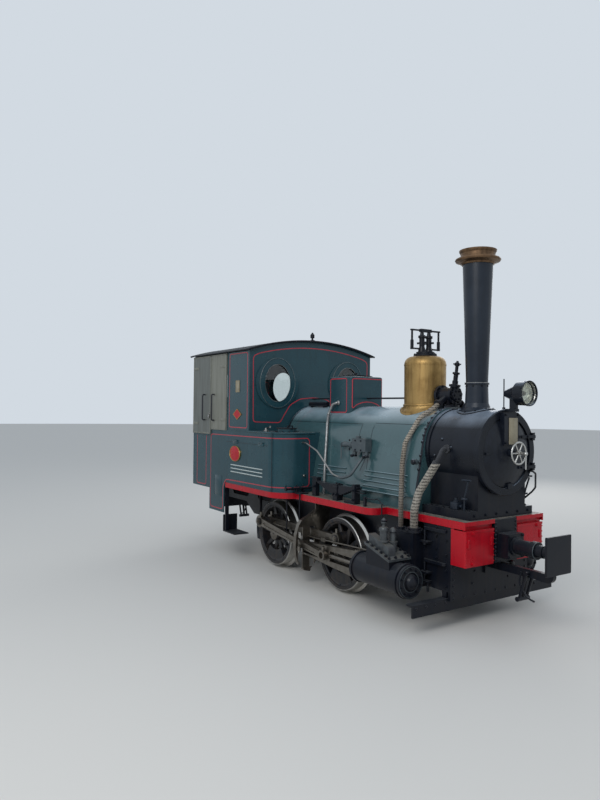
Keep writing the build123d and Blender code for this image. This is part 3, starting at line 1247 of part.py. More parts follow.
def main():
    """Build every node and write it."""
    os.makedirs("parts", exist_ok=True)
    both = (-1, 1)
    box_x = BEAM_X + CENTRE_BOX[0] + GAP
    save("main_frame", [main_frame()])
    save("axle_boxes", axle_boxes())
    save("beams", [front_beam(), rear_beam()])
    save("red_boxes", [red_box(s) for s in both])
    save("pilot_board", [pilot_board()])
    save("buffers", [buffer(FRONT_BUFFER_X, 1, box_x), buffer(REAR_BUFFER_X, -1, REAR_BEAM_X - GAP)])
    save("draw_gear", [draw_hook(BEAM_X + GAP, 1, 628), draw_hook(REAR_BEAM_X - GAP, -1, 420)])
    save("running_board", [running_board()])
    save("valances", pair(valance()))
    save("boiler_cladding", [boiler_cladding()])
    save("firebox", [firebox()])
    save("smokebox", [smokebox()])
    save("smokebox_saddle", [smokebox_saddle()])
    save("smokebox_door", [smokebox_door()])
    save("chimney", [chimney()])
    save("chimney_cap", [chimney_cap()])
    save("steam_dome", [steam_dome()])
    save("safety_valves", [safety_valves()])
    save("regulator_housing", [regulator_housing()])
    save("steam_pipes", pair(steam_pipe()))
    save("exhaust_pipes", pair(exhaust_pipe()))
    save("small_pipes", pair(sand_pipe()) + pair(feed_pipe()) + front_pipes())
    save("feed_valves", pair(feed_valve()) + pair(gauge_cock()))
    save("boiler_rods", boiler_rods())
    save("headlamp", [headlamp(), lamp_rod()])
    save("top_box", [top_box()])
    save("top_box_lid", [top_box_lid()])
    tank = side_tank()
    save("side_tanks", [tank + tank_filler(1), other_side(tank) + tank_filler(-1)])
    save("cab_ends", [cab_front(), cab_rear()])
    save("cab_sides", [cab_side(s) for s in both])
    save("cab_roof", [cab_roof()])
    save("cab_floor", [cab_floor()])
    save("backhead", [backhead()])
    rings = [window_ring(y, CAB_X1, 1) for y in (-WINDOW_Y, WINDOW_Y)]
    rings += [window_ring(y, CAB_X0, -1) for y in (-WINDOW_Y, WINDOW_Y)]
    save("window_rings", rings)
    panes = [window_pane(y, x) for y in (-WINDOW_Y, WINDOW_Y) for x in (CAB_X1 - 6, CAB_X0 + 1)]
    save("glass", panes + [lamp_glass()])
    save("cylinders", pair(cylinder_block()))
    save("chest_lids", pair(chest_lid()))
    save("frame_castings", pair(frame_casting()))
    save("slide_bars", pair(slide_bars()))
    save("crossheads", [crosshead(s) for s in both])
    gear = [leaf_spring(), cross_shaft()] + drain_rods()
    save("platform_gear", [piece for shape in gear for piece in pair(shape)])
    save("brake_gear", [brake_gear(s) for s in both])
    save("cab_steps", [cab_steps(s) for s in both])
    save("whistle", [whistle()])
    save("wheelset_front", [wheelset(FRONT_AXLE_X)])
    save("wheelset_rear", [wheelset(REAR_AXLE_X)])
    for name, s in (("right", -1), ("left", 1)):
        save(f"coupling_rod_{name}", [coupling_rod(s)])
        save(f"main_rod_{name}", [main_rod(s)])
        save(f"tank_lid_{name}", [tank_lid(s)])
        save(f"door_rear_{name}", [cab_door(s, 0)])
        save(f"door_front_{name}", [cab_door(s, 1)])


main()
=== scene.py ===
"""A small narrow-gauge tank engine: finishes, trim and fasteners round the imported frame."""

import json
import logging
import math
from dataclasses import dataclass, field, replace
from enum import Enum
from typing import Callable, Iterable, Sequence

import bmesh
import bpy
from mathutils import Matrix, Vector


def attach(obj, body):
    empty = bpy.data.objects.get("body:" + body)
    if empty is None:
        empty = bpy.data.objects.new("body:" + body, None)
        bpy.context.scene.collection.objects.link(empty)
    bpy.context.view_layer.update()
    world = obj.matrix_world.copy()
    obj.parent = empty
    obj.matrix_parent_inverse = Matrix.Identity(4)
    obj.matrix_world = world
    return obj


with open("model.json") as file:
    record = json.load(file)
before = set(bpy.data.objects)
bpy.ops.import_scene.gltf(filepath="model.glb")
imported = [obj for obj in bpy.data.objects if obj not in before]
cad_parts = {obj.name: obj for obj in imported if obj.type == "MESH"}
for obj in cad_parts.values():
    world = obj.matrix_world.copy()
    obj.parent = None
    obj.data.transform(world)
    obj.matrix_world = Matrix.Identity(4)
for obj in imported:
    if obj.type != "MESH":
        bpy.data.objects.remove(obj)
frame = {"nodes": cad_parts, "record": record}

log = logging.getLogger("tank engine")
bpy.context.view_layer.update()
MM = 0.001
# How far a strip reaches into its sheet, in millimetres.
SUNK = 1.0
# Edges steeper than this stay sharp: on forms and on fastener heads.
FORM_SHARP = math.radians(35.0)
HEAD_SHARP = math.radians(40.0)
Point = tuple[float, float, float]
Profile = Sequence[tuple[float, float]]
Socket = bpy.types.NodeSocket
AHEAD, BACK, LEFT, RIGHT, UP = (1, 0, 0), (-1, 0, 0), (0, 1, 0), (0, -1, 0), (0, 0, 1)

# The boiler cladding's cross-section, as in the part's source.
BOILER_Z = 1450.0
CLAD_R = 380.0
FLARE_Y = 460.0
FLARE_Z = 1045.0


class Body(Enum):
    """The moving bodies that trim rides on."""

    ENGINE = "engine"
    SMOKEBOX_DOOR = "smokebox_door"
    BOX_LID = "top_box_lid"
    FRONT_WHEELS = "wheelset_front"
    REAR_WHEELS = "wheelset_rear"
    DOOR_REAR_RIGHT = "door_rear_right"
    DOOR_REAR_LEFT = "door_rear_left"
    DOOR_FRONT_RIGHT = "door_front_right"
    DOOR_FRONT_LEFT = "door_front_left"


class Head(Enum):
    """The kinds of fastener head."""

    ROUND = "round"
    HEX = "hex"


# Shared helpers
def linear(code: str) -> tuple[float, float, float, float]:
    """Turn an sRGB hex value into a linear opaque colour.

    Args:
        code: The hex value, "#RRGGBB".

    Returns:
        Red, green, blue and alpha.
    """
    parts = [int(code[i:i + 2], 16) / 255 for i in (1, 3, 5)]
    red, green, blue = (p / 12.92 if p <= 0.04045 else ((p + 0.055) / 1.055) ** 2.4 for p in parts)
    return red, green, blue, 1.0


def add(tree: bpy.types.NodeTree, kind: str, settings: dict | None = None,
        links: dict | None = None) -> bpy.types.Node:
    """Add one node with its settings and its links.

    Args:
        tree: The node tree that takes the node.
        kind: The node's type name.
        settings: Values by attribute name, or by input name or index.
        links: Output sockets by input name or index.

    Returns:
        The new node.
    """
    node = tree.nodes.new(kind)
    for key, value in (settings or {}).items():
        if isinstance(key, str) and hasattr(node, key):
            setattr(node, key, value)
        else:
            node.inputs[key].default_value = value
    for key, source in (links or {}).items():
        tree.links.new(source, node.inputs[key])
    return node


def new_tree(name: str) -> tuple[bpy.types.Material, bpy.types.NodeTree]:
    """Make an empty node material.

    Args:
        name: The finish's name.

    Returns:
        The material and its node tree.
    """
    material = bpy.data.materials.new(name)
    material.use_nodes = True
    material.node_tree.nodes.clear()
    return material, material.node_tree


# Finishes
def shade(tree: bpy.types.NodeTree, settings: dict, links: dict | None = None) -> None:
    """End a material with its shader, from constants and output sockets by input name."""
    shader = add(tree, "ShaderNodeBsdfPrincipled", settings, links)
    add(tree, "ShaderNodeOutputMaterial", links={"Surface": shader.outputs[0]})


@dataclass
class Surface:
    """One material in the making, on Object coordinates, with the nodes that the finishes share."""

    name: str
    material: bpy.types.Material = field(init=False)
    tree: bpy.types.NodeTree = field(init=False)
    place: Socket = field(init=False)

    def __post_init__(self) -> None:
        """Open the material."""
        self.material, self.tree = new_tree(self.name)
        self.place = add(self.tree, "ShaderNodeTexCoord").outputs["Object"]

    def along(self, axis: str) -> Socket:
        """Read the place along one axis, in metres."""
        return add(self.tree, "ShaderNodeSeparateXYZ", links={0: self.place}).outputs[axis]

    def stretched(self, scale: Point) -> Socket:
        """Stretch the coordinates, for patterns that run down."""
        return add(self.tree, "ShaderNodeMapping", {"Scale": scale}, {"Vector": self.place}).outputs[0]

    def noise(self, scale: float, detail: float, rough: float = 0.5, place: Socket | None = None) -> Socket:
        """Add noise: clouds in a metre, finer layers, their strength, and other coordinates if given."""
        return add(self.tree, "ShaderNodeTexNoise", {"Scale": scale, "Detail": detail, "Roughness": rough},
                   {"Vector": self.place if place is None else place}).outputs["Fac"]

    def ramp(self, value: Socket, start: float, end: float, low: float = 0.0, high: float = 1.0) -> Socket:
        """Turn a value into low up to the start, high from the end on, and an even rise between them."""
        return add(self.tree, "ShaderNodeMapRange",
                   {"From Min": start, "From Max": end, "To Min": low, "To Max": high},
                   {"Value": value}).outputs[0]

    def combined(self, operation: str, one: Socket, two: Socket) -> Socket:
        """Work out one value from two."""
        return add(self.tree, "ShaderNodeMath", {"operation": operation}, {0: one, 1: two}).outputs[0]

    def blend(self, share: Socket, one: Socket | str, two: Socket | str) -> Socket:
        """Mix two colours.

        Args:
            share: How much of the second colour shows.
            one: The first colour, a socket or a hex value.
            two: The second colour, a socket or a hex value.

        Returns:
            The mixed colour.
        """
        settings, links = {"data_type": "RGBA"}, {0: share}
        for index, colour in ((6, one), (7, two)):
            if isinstance(colour, str):
                settings[index] = linear(colour)
            else:
                links[index] = colour
        return add(self.tree, "ShaderNodeMix", settings, links).outputs[2]

    def relief(self, height: Socket, depth_mm: float, under: Socket | None = None) -> Socket:
        """Raise and lower the surface by a pattern, on top of another relief if there is one."""
        links = {"Height": height} if under is None else {"Height": height, "Normal": under}
        return add(self.tree, "ShaderNodeBump", {"Distance": depth_mm * MM, "Strength": 1.0},
                   links).outputs[0]

    def close(self, settings: dict, links: dict) -> bpy.types.Material:
        """End the material with its shader and hand it over."""
        shade(self.tree, settings, links)
        return self.material


@dataclass(frozen=True)
class Finish:
    """A painted or bare metal surface. Colours are sRGB hex, sizes are millimetres."""

    name: str
    base: str
    tone: str
    tone_mm: float = 260.0
    tone_mix: float = 0.5
    roughness: float = 0.4
    spread: float = 0.12
    metallic: float = 0.0
    specular: float = 0.5
    coat: float = 0.0
    grain_mm: float = 3.0
    grain_depth_mm: float = 0.05
    ripple_mm: float = 220.0
    ripple_depth_mm: float = 0.0
    dust_and_sheen: str = "#8D877B"
    dust_and_sheen_mix: float = 0.0
    streak: str = "#3B2E26"
    streak_mix: float = 0.0
    streaks_a_metre: float = 28.0

    def build(self) -> bpy.types.Material:
        """Build the material: two tones in patches, runs down the sides, a dusty top that on some finishes is
        also painted sheen, grain and ripple.

        Returns:
            The material.
        """
        nodes = Surface(self.name)
        patches = nodes.noise(1 / (self.tone_mm * MM), 5.0, 0.6)
        colour = nodes.blend(nodes.ramp(patches, 0.42, 0.68, high=self.tone_mix), self.base, self.tone)
        rough = nodes.ramp(patches, 0.3, 0.7, self.roughness - self.spread / 2,
                           self.roughness + self.spread / 2)
        if self.streak_mix:
            runs = nodes.noise(self.streaks_a_metre, 4.0, place=nodes.stretched((1.0, 1.0, 0.08)))
            colour = nodes.blend(nodes.ramp(runs, 0.5, 0.75, high=self.streak_mix), colour, self.streak)
        # A pale colour on upward faces: dusty, and on the boiler and the smokebox mostly a painted sheen of
        # the sky.
        if self.dust_and_sheen_mix:
            normal = add(nodes.tree, "ShaderNodeNewGeometry").outputs["Normal"]
            up = add(nodes.tree, "ShaderNodeSeparateXYZ", links={0: normal}).outputs["Z"]
            cover = nodes.combined("MULTIPLY", nodes.ramp(up, 0.55, 1.0, high=self.dust_and_sheen_mix), patches)
            colour = nodes.blend(cover, colour, self.dust_and_sheen)
        shape = nodes.relief(nodes.noise(1 / (self.grain_mm * MM), 3.0), self.grain_depth_mm)
        if self.ripple_depth_mm:
            shape = nodes.relief(nodes.noise(1 / (self.ripple_mm * MM), 1.0), self.ripple_depth_mm, shape)
        return nodes.close({"Metallic": self.metallic, "Specular IOR Level": self.specular,
                            "Coat Weight": self.coat, "Coat Roughness": 0.12},
                           {"Base Color": colour, "Roughness": rough, "Normal": shape})


@dataclass(frozen=True)
class PartWornFinish:
    """Paint that gives way to another surface on one part of the same piece, told by its place in metres."""

    name: str
    paint: str
    grease: str
    steel: str
    painted_rough: float = 0.5
    steel_rough: float = 0.28
    bare_metallic: float = 1.0
    specular: float = 0.5
    axis: str = "X"
    start: float = 0.0
    end: float = 0.0
    streaks: bool = False
    patches_a_metre: float = 14.0
    grain_a_metre: float = 320.0

    def worn(self, nodes: Surface) -> Socket:
        """Tell paint, 0, from the other surface, 1, by how far out along an axis it lies on either side."""
        out = add(nodes.tree, "ShaderNodeMath", {"operation": "ABSOLUTE"}, {0: nodes.along(self.axis)})
        return nodes.ramp(out.outputs[0], self.start, self.end)

    def build(self) -> bpy.types.Material:
        """Build the material: greasy paint here, the other surface there, a cast grain on both.

        Returns:
            The material.
        """
        nodes = Surface(self.name)
        bright = self.worn(nodes)
        runs = nodes.stretched((1.6, 1.6, 0.12 if self.streaks else 1.0))
        dirt = nodes.ramp(nodes.noise(self.patches_a_metre, 6.0, 0.65, runs), 0.4, 0.66, high=0.8)
        colour = nodes.blend(bright, nodes.blend(dirt, self.paint, self.grease), self.steel)
        metal = add(nodes.tree, "ShaderNodeMath", {"operation": "MULTIPLY", 1: self.bare_metallic},
                    {0: bright})
        return nodes.close({"Specular IOR Level": self.specular}, {
            "Base Color": colour, "Metallic": metal.outputs[0],
            "Roughness": nodes.ramp(bright, 0.0, 1.0, self.painted_rough, self.steel_rough),
            "Normal": nodes.relief(nodes.noise(self.grain_a_metre, 3.0), 0.15)})


@dataclass(frozen=True)
class TyreFinish(PartWornFinish):
    """Painted wheel centre with a tread that the rail keeps bright."""

    axle_x: float = 0.0
    axle_z: float = 0.383
    tread_r: float = 0.355

    def worn(self, nodes: Surface) -> Socket:
        """Tell tread from centre by the distance from the axle.

        Args:
            nodes: The material in the making.

        Returns:
            A socket that is 1 on the tread.
        """
        flat = add(nodes.tree, "ShaderNodeCombineXYZ", links={axis: nodes.along(axis) for axis in "XZ"})
        far = add(nodes.tree, "ShaderNodeVectorMath",
                  {"operation": "DISTANCE", 1: (self.axle_x, 0.0, self.axle_z)}, {0: flat.outputs[0]})
        return nodes.ramp(far.outputs["Value"], self.tread_r - 0.013, self.tread_r - 0.009)


@dataclass(frozen=True)
class LaggingFinish:
    """Cotton tape wound over pipe lagging: pale turns with dirt along each lap. Heights are metres."""

    name: str
    tape: str
    lap: str
    stain: str
    lap_mm: float = 30.0
    weave_mm: float = 10.0
    bare: str = "#2A2C31"
    bare_above: float = 9.0
    low_shade: str = "#3D342D"
    shaded_below: float = 1.0

    def build(self) -> bpy.types.Material:
        """Build the material: stained tape with dark laps, painted shade further down, bare pipe above the
        tape.

        Returns:
            The material.
        """
        nodes = Surface(self.name)
        # A wave's turn is 2 pi / 20 of its scale's inverse.
        laps = add(nodes.tree, "ShaderNodeTexWave", {
            "bands_direction": "Z", "wave_profile": "SAW", "Scale": 2 * math.pi / (20 * self.lap_mm * MM),
            "Distortion": 3.0, "Detail": 3.0, "Detail Scale": 6.0}, {"Vector": nodes.place}).outputs["Fac"]
        weave = nodes.noise(1 / (self.weave_mm * MM), 4.0, 0.7)
        dirt = nodes.combined("MULTIPLY", nodes.ramp(laps, 0.45, 0.75), nodes.ramp(weave, 0.38, 0.5))
        stained = nodes.ramp(nodes.noise(5.0, 4.0), 0.46, 0.66, high=0.6)
        wound = nodes.blend(dirt, nodes.blend(stained, self.tape, self.stain), self.lap)
        height = nodes.along("Z")
        # Painted shade: the tape turns darker below a height.
        wound = nodes.blend(nodes.ramp(height, self.shaded_below, self.shaded_below - 0.7, high=0.85),
                            wound, self.low_shade)
        colour = nodes.blend(nodes.ramp(height, self.bare_above, self.bare_above + 0.004), wound, self.bare)
        return nodes.close({"Roughness": 0.78, "Sheen Weight": 0.15}, {
            "Base Color": colour, "Normal": nodes.relief(nodes.combined("ADD", laps, weave), 2.2)})


@dataclass(frozen=True)
class GlassFinish:
    """Clear flat glass: a see-through body with a mirror-like surface."""

    name: str
    tint: str
    roughness: float = 0.02

    def build(self) -> bpy.types.Material:
        """Build the material.

        Returns:
            The material.
        """
        material, tree = new_tree(self.name)
        shade(tree, {"Base Color": linear(self.tint), "Roughness": self.roughness, "Transmission Weight": 1.0,
                     "IOR": 1.5})
        return material


# Chalky paint on the front door leaves, with bar handles that are dark against it.
DOOR_LEAF = PartWornFinish("door_leaf", "#7C7D73", "#64645A", "#22242A", painted_rough=0.52, steel_rough=0.4,
                           bare_metallic=0.0, axis="Y", start=0.9035, end=0.905, streaks=True)
# The rear leaves get a darker, greener copy of the same paint; its darker tone is painted shade.
REAR_DOOR_LEAF = replace(DOOR_LEAF, name="rear_door_leaf", paint="#676B67", grease="#535650")
# The finish of each slot, or of one piece that differs from its slot.
FINISHES = {
    # Old linseed coach paint over filler: dark, glossy, faintly wavy, so it mirrors the sky in soft patches.
    "deep_green": Finish("coach_green", "#1D3E47", "#244850", roughness=0.26, specular=0.34, coat=0.08,
                         grain_depth_mm=0.02, ripple_depth_mm=1.1, ripple_mm=340.0, dust_and_sheen_mix=0.35,
                         streak="#152826", streak_mix=0.25),
    # Brushed black enamel on plates and castings: semi-gloss with a cast grain and brown grease in runs.
    "frame_black": Finish("frame_black", "#10141D", "#1B1C20", tone_mm=120.0, roughness=0.34, specular=0.25,
                          grain_mm=4.0, grain_depth_mm=0.2, dust_and_sheen="#6F7274", dust_and_sheen_mix=0.35, streak="#2C2420",
                          streak_mix=0.3),
    # Heat-resisting black on rolled plate: slightly blue, with a painted highlight in pale blue-grey on its
    # top over a little dust.
    "smokebox_black": Finish("smokebox_black", "#10141C", "#1A1F29", tone_mm=180.0, roughness=0.3,
                             spread=0.14, specular=0.28, grain_mm=2.5, grain_depth_mm=0.1,
                             ripple_depth_mm=0.8, dust_and_sheen="#98A5B4", dust_and_sheen_mix=1.2),
    # Glossy alkyd red on plate.
    "signal_red": Finish("signal_red", "#AE0D1E", "#960C1B", roughness=0.3, specular=0.3, grain_depth_mm=0.03,
                         ripple_depth_mm=0.5, dust_and_sheen_mix=0.15, streak="#5A141C", streak_mix=0.3),
    # Weathered oil paint on sheet doors: chalky beige-grey with darker runs.
    "door_grey": Finish("door_grey", "#7C7D73", "#6A6A60", tone_mm=90.0, roughness=0.55, grain_depth_mm=0.08,
                        ripple_depth_mm=0.6, streak="#4C4A3E", streak_mix=0.5),
    # Tread plate walked on until the paint is worn to dull steel.
    "worn_plate": Finish("worn_plate", "#3A3A3A", "#6E6A62", tone_mm=70.0, roughness=0.5, grain_depth_mm=0.2,
                         dust_and_sheen_mix=0.9),
    # Machined steel under a film of oil.
    "motion_steel": Finish("motion_steel", "#7C7770", "#544C42", tone_mm=60.0, roughness=0.38, metallic=1.0,
                           grain_mm=1.5, grain_depth_mm=0.03),
    # Spun sheet brass that the weather has dulled: matte, with broad brown runs down its side.
    "bright_brass": Finish("bright_brass", "#A98A57", "#7D6238", tone_mm=150.0, tone_mix=0.7, roughness=0.46,
                           spread=0.18, metallic=0.85, grain_depth_mm=0.03, ripple_depth_mm=0.8,
                           streak="#5A4326", streak_mix=0.6),
    # Copper alloy left to brown in the exhaust.
    "aged_brass": Finish("aged_brass", "#7A6048", "#4C3C30", tone_mm=60.0, roughness=0.42, metallic=0.9,
                         grain_depth_mm=0.06, streak="#2E2620", streak_mix=0.5),
    # Cast brass fittings rubbed bright.
    "polished_brass": Finish("polished_brass", "#C2A25E", "#8F7240", tone_mm=30.0, roughness=0.26,
                             metallic=1.0, grain_mm=1.5, grain_depth_mm=0.03),
    # Turned steel kept bright by use.
    "polished_steel": Finish("polished_steel", "#A9A8A5", "#85827D", tone_mm=25.0, roughness=0.24,
                             metallic=1.0, grain_mm=1.5, grain_depth_mm=0.02),
    # Drawn pipe, dulled outdoors but never painted.
    "bare_pipe": Finish("bare_pipe", "#9A9B9A", "#6A6966", tone_mm=45.0, tone_mix=0.6, roughness=0.4,
                        metallic=0.7, grain_depth_mm=0.04),
    # Thin enamel line, brushed by hand.
    "lining_red": Finish("lining_red", "#B4303C", "#93293A", tone_mm=70.0, roughness=0.36,
                         grain_depth_mm=0.04),
    # Cream enamel on a cast plate, darkened towards grey partly as painted shade.
    "cream_enamel": Finish("cream_enamel", "#948B75", "#766D58", tone_mm=40.0, roughness=0.42,
                           grain_depth_mm=0.08, streak="#7A6A4C", streak_mix=0.4),
    # Silvered glass bowl.
    "lamp_silver": Finish("lamp_silver", "#FBF7E6", "#EDE6CC", tone_mm=30.0, roughness=0.22, spread=0.05,
                          metallic=0.3, grain_depth_mm=0.01),
    # Pale grey on the tank slats' upper edges: a painted highlight.
    "bare_paint": Finish("pale_paint", "#B4BEBC", "#8F9B9A", tone_mm=60.0, roughness=0.4,
                         grain_depth_mm=0.05),
    # Cotton tape, darkened lower down as painted shade; on the exhaust pipe it ends below the flange.
    "pipe_lagging": LaggingFinish("pipe_lagging", "#A09789", "#2A241F", "#6E604E", lap_mm=22.0,
                                  shaded_below=1.5),
    "exhaust_pipes": LaggingFinish("exhaust_lagging", "#9B958A", "#292521", "#6B6459", lap_mm=27.0,
                                   bare_above=1.342),
    # The same black as the smokebox; hands keep the handwheel in front of it bright.
    "smokebox_door": PartWornFinish("smokebox_door_black", "#10141C", "#1A1F29", "#BAB9B5", painted_rough=0.3,
                                    steel_rough=0.32, specular=0.3, start=2.298, end=2.302),
    # Pipes in front of the smokebox are painted, those beside the boiler are bare.
    "small_pipes": PartWornFinish("small_pipes", "#15181E", "#24221F", "#959593", painted_rough=0.36,
                                  steel_rough=0.38, start=1.904, end=1.9),
    # Old window glass, a touch green.
    "clear_glass": GlassFinish("clear_glass", "#EEF3F1"),
    # The same coach paint on rolled sheet, greyed with steam; the pale blue-grey on its top is a painted
    # sheen of the sky over a little dust.
    "boiler_cladding": Finish("boiler_green", "#334F53", "#425F63", tone_mm=420.0, roughness=0.24, coat=0.6,
                              grain_depth_mm=0.02, ripple_depth_mm=1.0, ripple_mm=360.0, dust_and_sheen="#B4C6D0",
                              dust_and_sheen_mix=1.5, streak="#2E4349", streak_mix=0.25),
    # Grey paint on castings, dusty on top.
    "feed_valves": Finish("valve_paint", "#3E484D", "#535B5D", tone_mm=40.0, roughness=0.36,
                          grain_depth_mm=0.25, dust_and_sheen_mix=0.3),
    # Worn grey paint on the valve chests' lids, with black showing through.
    "chest_lids": Finish("chest_grey", "#42474A", "#292C30", tone_mm=50.0, tone_mix=0.8, grain_depth_mm=0.2,
                         dust_and_sheen_mix=0.5, streak="#26241F", streak_mix=0.5),
    # The smokebox's black on a thinner sheet that the heat has greyed.
    "chimney": Finish("chimney_black", "#1B222C", "#272F3A", tone_mm=200.0, roughness=0.32, specular=0.32,
                      grain_mm=2.5, grain_depth_mm=0.08, ripple_depth_mm=0.5, streak="#1A1A1C",
                      streak_mix=0.4),
    # Tarred canvas on the roof boards: dull, with pale dust in its weave.
    "cab_roof": Finish("roof_felt", "#22262A", "#33373A", tone_mm=200.0, roughness=0.68, specular=0.25,
                       grain_mm=2.0, grain_depth_mm=0.3, dust_and_sheen="#6E7274", dust_and_sheen_mix=0.35),
    # Scrubbed floor boards.
    "floor_boards": Finish("floor_boards", "#5A4632", "#3C2E22", tone_mm=40.0, roughness=0.7, grain_mm=2.0,
                           grain_depth_mm=0.2),
    # Oily black wheel centres round a tread that the rail polishes.
    "wheelset_front": TyreFinish("front_wheel_paint", "#171A20", "#3A322B", "#C0BEB9", axle_x=0.710),
    "wheelset_rear": TyreFinish("rear_wheel_paint", "#171A20", "#3A322B", "#C0BEB9", axle_x=-0.515),
}
# The record's slot of each finish that isn't a slot itself.
TRIM_SLOTS = {"lining_red": "signal_red", "cream_enamel": "door_grey", "polished_steel": "motion_steel",
              "polished_brass": "bright_brass", "lamp_silver": "motion_steel", "bare_paint": "deep_green",
              "boiler_cladding": "deep_green", "feed_valves": "frame_black", "chimney": "smokebox_black"}


# Studio
@dataclass
class Studio:
    """The floor, the lamps and the camera, in metres and degrees."""

    place: Point = (5.794, -4.490, 1.808)
    yaw: float = 33.64
    pitch: float = 0.671
    roll: float = 0.646
    lens_mm: float = 29.24
    floor_r: float = 60.0
    floor_colour: str = "#C9C6C0"
    sky_colour: str = "#D8E3F0"
    air_colour: str = "#D2DAE2"
    # Each lamp's name, place, aim, side and power in watts.
    lamps: tuple[tuple[str, Point, Point, float, float], ...] = (
        ("key", (5.0, -7.5, 7.0), (0.5, 0.0, 1.2), 5.0, 420.0),
        ("fill", (-4.0, 8.0, 6.0), (0.0, 0.0, 1.4), 6.0, 220.0))

    def camera(self) -> None:
        """Stand the camera ahead of the engine on its right, looking back and across it."""
        data = bpy.data.cameras.new("camera")
        data.sensor_width = 36.0
        data.lens = self.lens_mm
        data.clip_start, data.clip_end = 0.05, 300.0
        yaw, pitch, roll = (math.radians(a) for a in (self.yaw, self.pitch, self.roll))
        right, back = (math.sin(yaw), math.cos(yaw), 0.0), (math.cos(yaw), -math.sin(yaw), 0.0)
        base = Matrix((right, UP, back)).transposed()
        turn = base @ Matrix.Rotation(pitch, 3, "X") @ Matrix.Rotation(roll, 3, "Z")
        camera = bpy.data.objects.new("camera", data)
        camera.matrix_world = Matrix.Translation(self.place) @ turn.to_4x4()
        bpy.context.scene.collection.objects.link(camera)
        bpy.context.scene.camera = camera

    def floor(self) -> None:
        """Lay a plain pale floor under the wheels."""
        mesh = bpy.data.meshes.new("floor")
        shape = bmesh.new()
        bmesh.ops.create_circle(shape, cap_ends=True, radius=self.floor_r, segments=64)
        shape.to_mesh(mesh)
        shape.free()
        floor = bpy.data.objects.new("floor", mesh)
        bpy.context.scene.collection.objects.link(floor)
        material, tree = new_tree("studio_floor")
        shade(tree, {"Base Color": linear(self.floor_colour), "Roughness": 0.9})
        mesh.materials.append(material)

    def air(self) -> None:
        """Light the scene like a bright overcast sky: brightest overhead, dimmer at the horizon."""
        world = bpy.data.worlds.new("overcast")
        world.use_nodes = True
        tree = world.node_tree
        tree.nodes.clear()
        way = add(tree, "ShaderNodeSeparateXYZ",
                  links={0: add(tree, "ShaderNodeTexCoord").outputs["Generated"]})
        lift = add(tree, "ShaderNodeMapRange",
                   {"From Min": -0.1, "From Max": 0.9, "To Min": 0.45, "To Max": 1.0},
                   {"Value": way.outputs["Z"]})
        sky = add(tree, "ShaderNodeBackground", {"Color": linear(self.sky_colour)},
                  {"Strength": lift.outputs[0]})
        seen = add(tree, "ShaderNodeBackground", {"Color": linear(self.air_colour), "Strength": 1.0})
        ray = add(tree, "ShaderNodeLightPath").outputs
        mirrored = add(tree, "ShaderNodeMath", {"operation": "MAXIMUM"},
                       {0: ray["Is Glossy Ray"], 1: ray["Is Transmission Ray"]})
        shown = add(tree, "ShaderNodeMath", {"operation": "MAXIMUM"},
                    {0: ray["Is Camera Ray"], 1: mirrored.outputs[0]})
        mixed = add(tree, "ShaderNodeMixShader",
                    links={0: shown.outputs[0], 1: sky.outputs[0], 2: seen.outputs[0]})
        add(tree, "ShaderNodeOutputWorld", links={"Surface": mixed.outputs[0]})
        bpy.context.scene.world = world

    def lamp(self, name: str, place: Point, aim: Point, size: float, watts: float) -> None:
        """Hang one soft square lamp.

        Args:
            name: The lamp's name.
            place: Where it hangs.
            aim: The point that it faces.
            size: The length of its side.
            watts: Its power.
        """
        data = bpy.data.lights.new(name, "AREA")
        data.size = size
        data.energy = watts
        lamp = bpy.data.objects.new(name, data)
        way = Vector(aim) - Vector(place)
        lamp.matrix_world = Matrix.Translation(place) @ way.to_track_quat("-Z", "Y").to_matrix().to_4x4()
        bpy.context.scene.collection.objects.link(lamp)

    def build(self) -> None:
        """Set up camera, floor, air and lamps."""
        self.camera()
        self.floor()
        self.air()
        for lamp in self.lamps:
            self.lamp(*lamp)
        bpy.context.scene.view_settings.view_transform = "Standard"
        log.info("studio ready")


# Shape building
def flank(z: float) -> tuple[Point, Point]:
    """Find the cladding's left surface at a height, in millimetres.

    Args:
        z: The height above the lowest flange point.

    Returns:
        The surface point at X 0 and its outward normal.
    """
    far = math.hypot(FLARE_Y, FLARE_Z - BOILER_Z)
    touch = math.atan2(FLARE_Z - BOILER_Z, FLARE_Y) + math.acos(CLAD_R / far)
    top_y, top_z = CLAD_R * math.cos(touch), BOILER_Z + CLAD_R * math.sin(touch)
    if z >= top_z:
        y = math.sqrt(max(CLAD_R ** 2 - (z - BOILER_Z) ** 2, 0.0))
        return (0.0, y, z), (0.0, y / CLAD_R, (z - BOILER_Z) / CLAD_R)
    share = (top_z - z) / (top_z - FLARE_Z)
    return (0.0, top_y + share * (FLARE_Y - top_y), z), (0.0, math.cos(touch), math.sin(touch))


def crown(radius: float, y: float) -> float:
    """Find the top of a barrel round the boiler's axis, at a distance from the middle."""
    return BOILER_Z + math.sqrt(radius ** 2 - y ** 2)


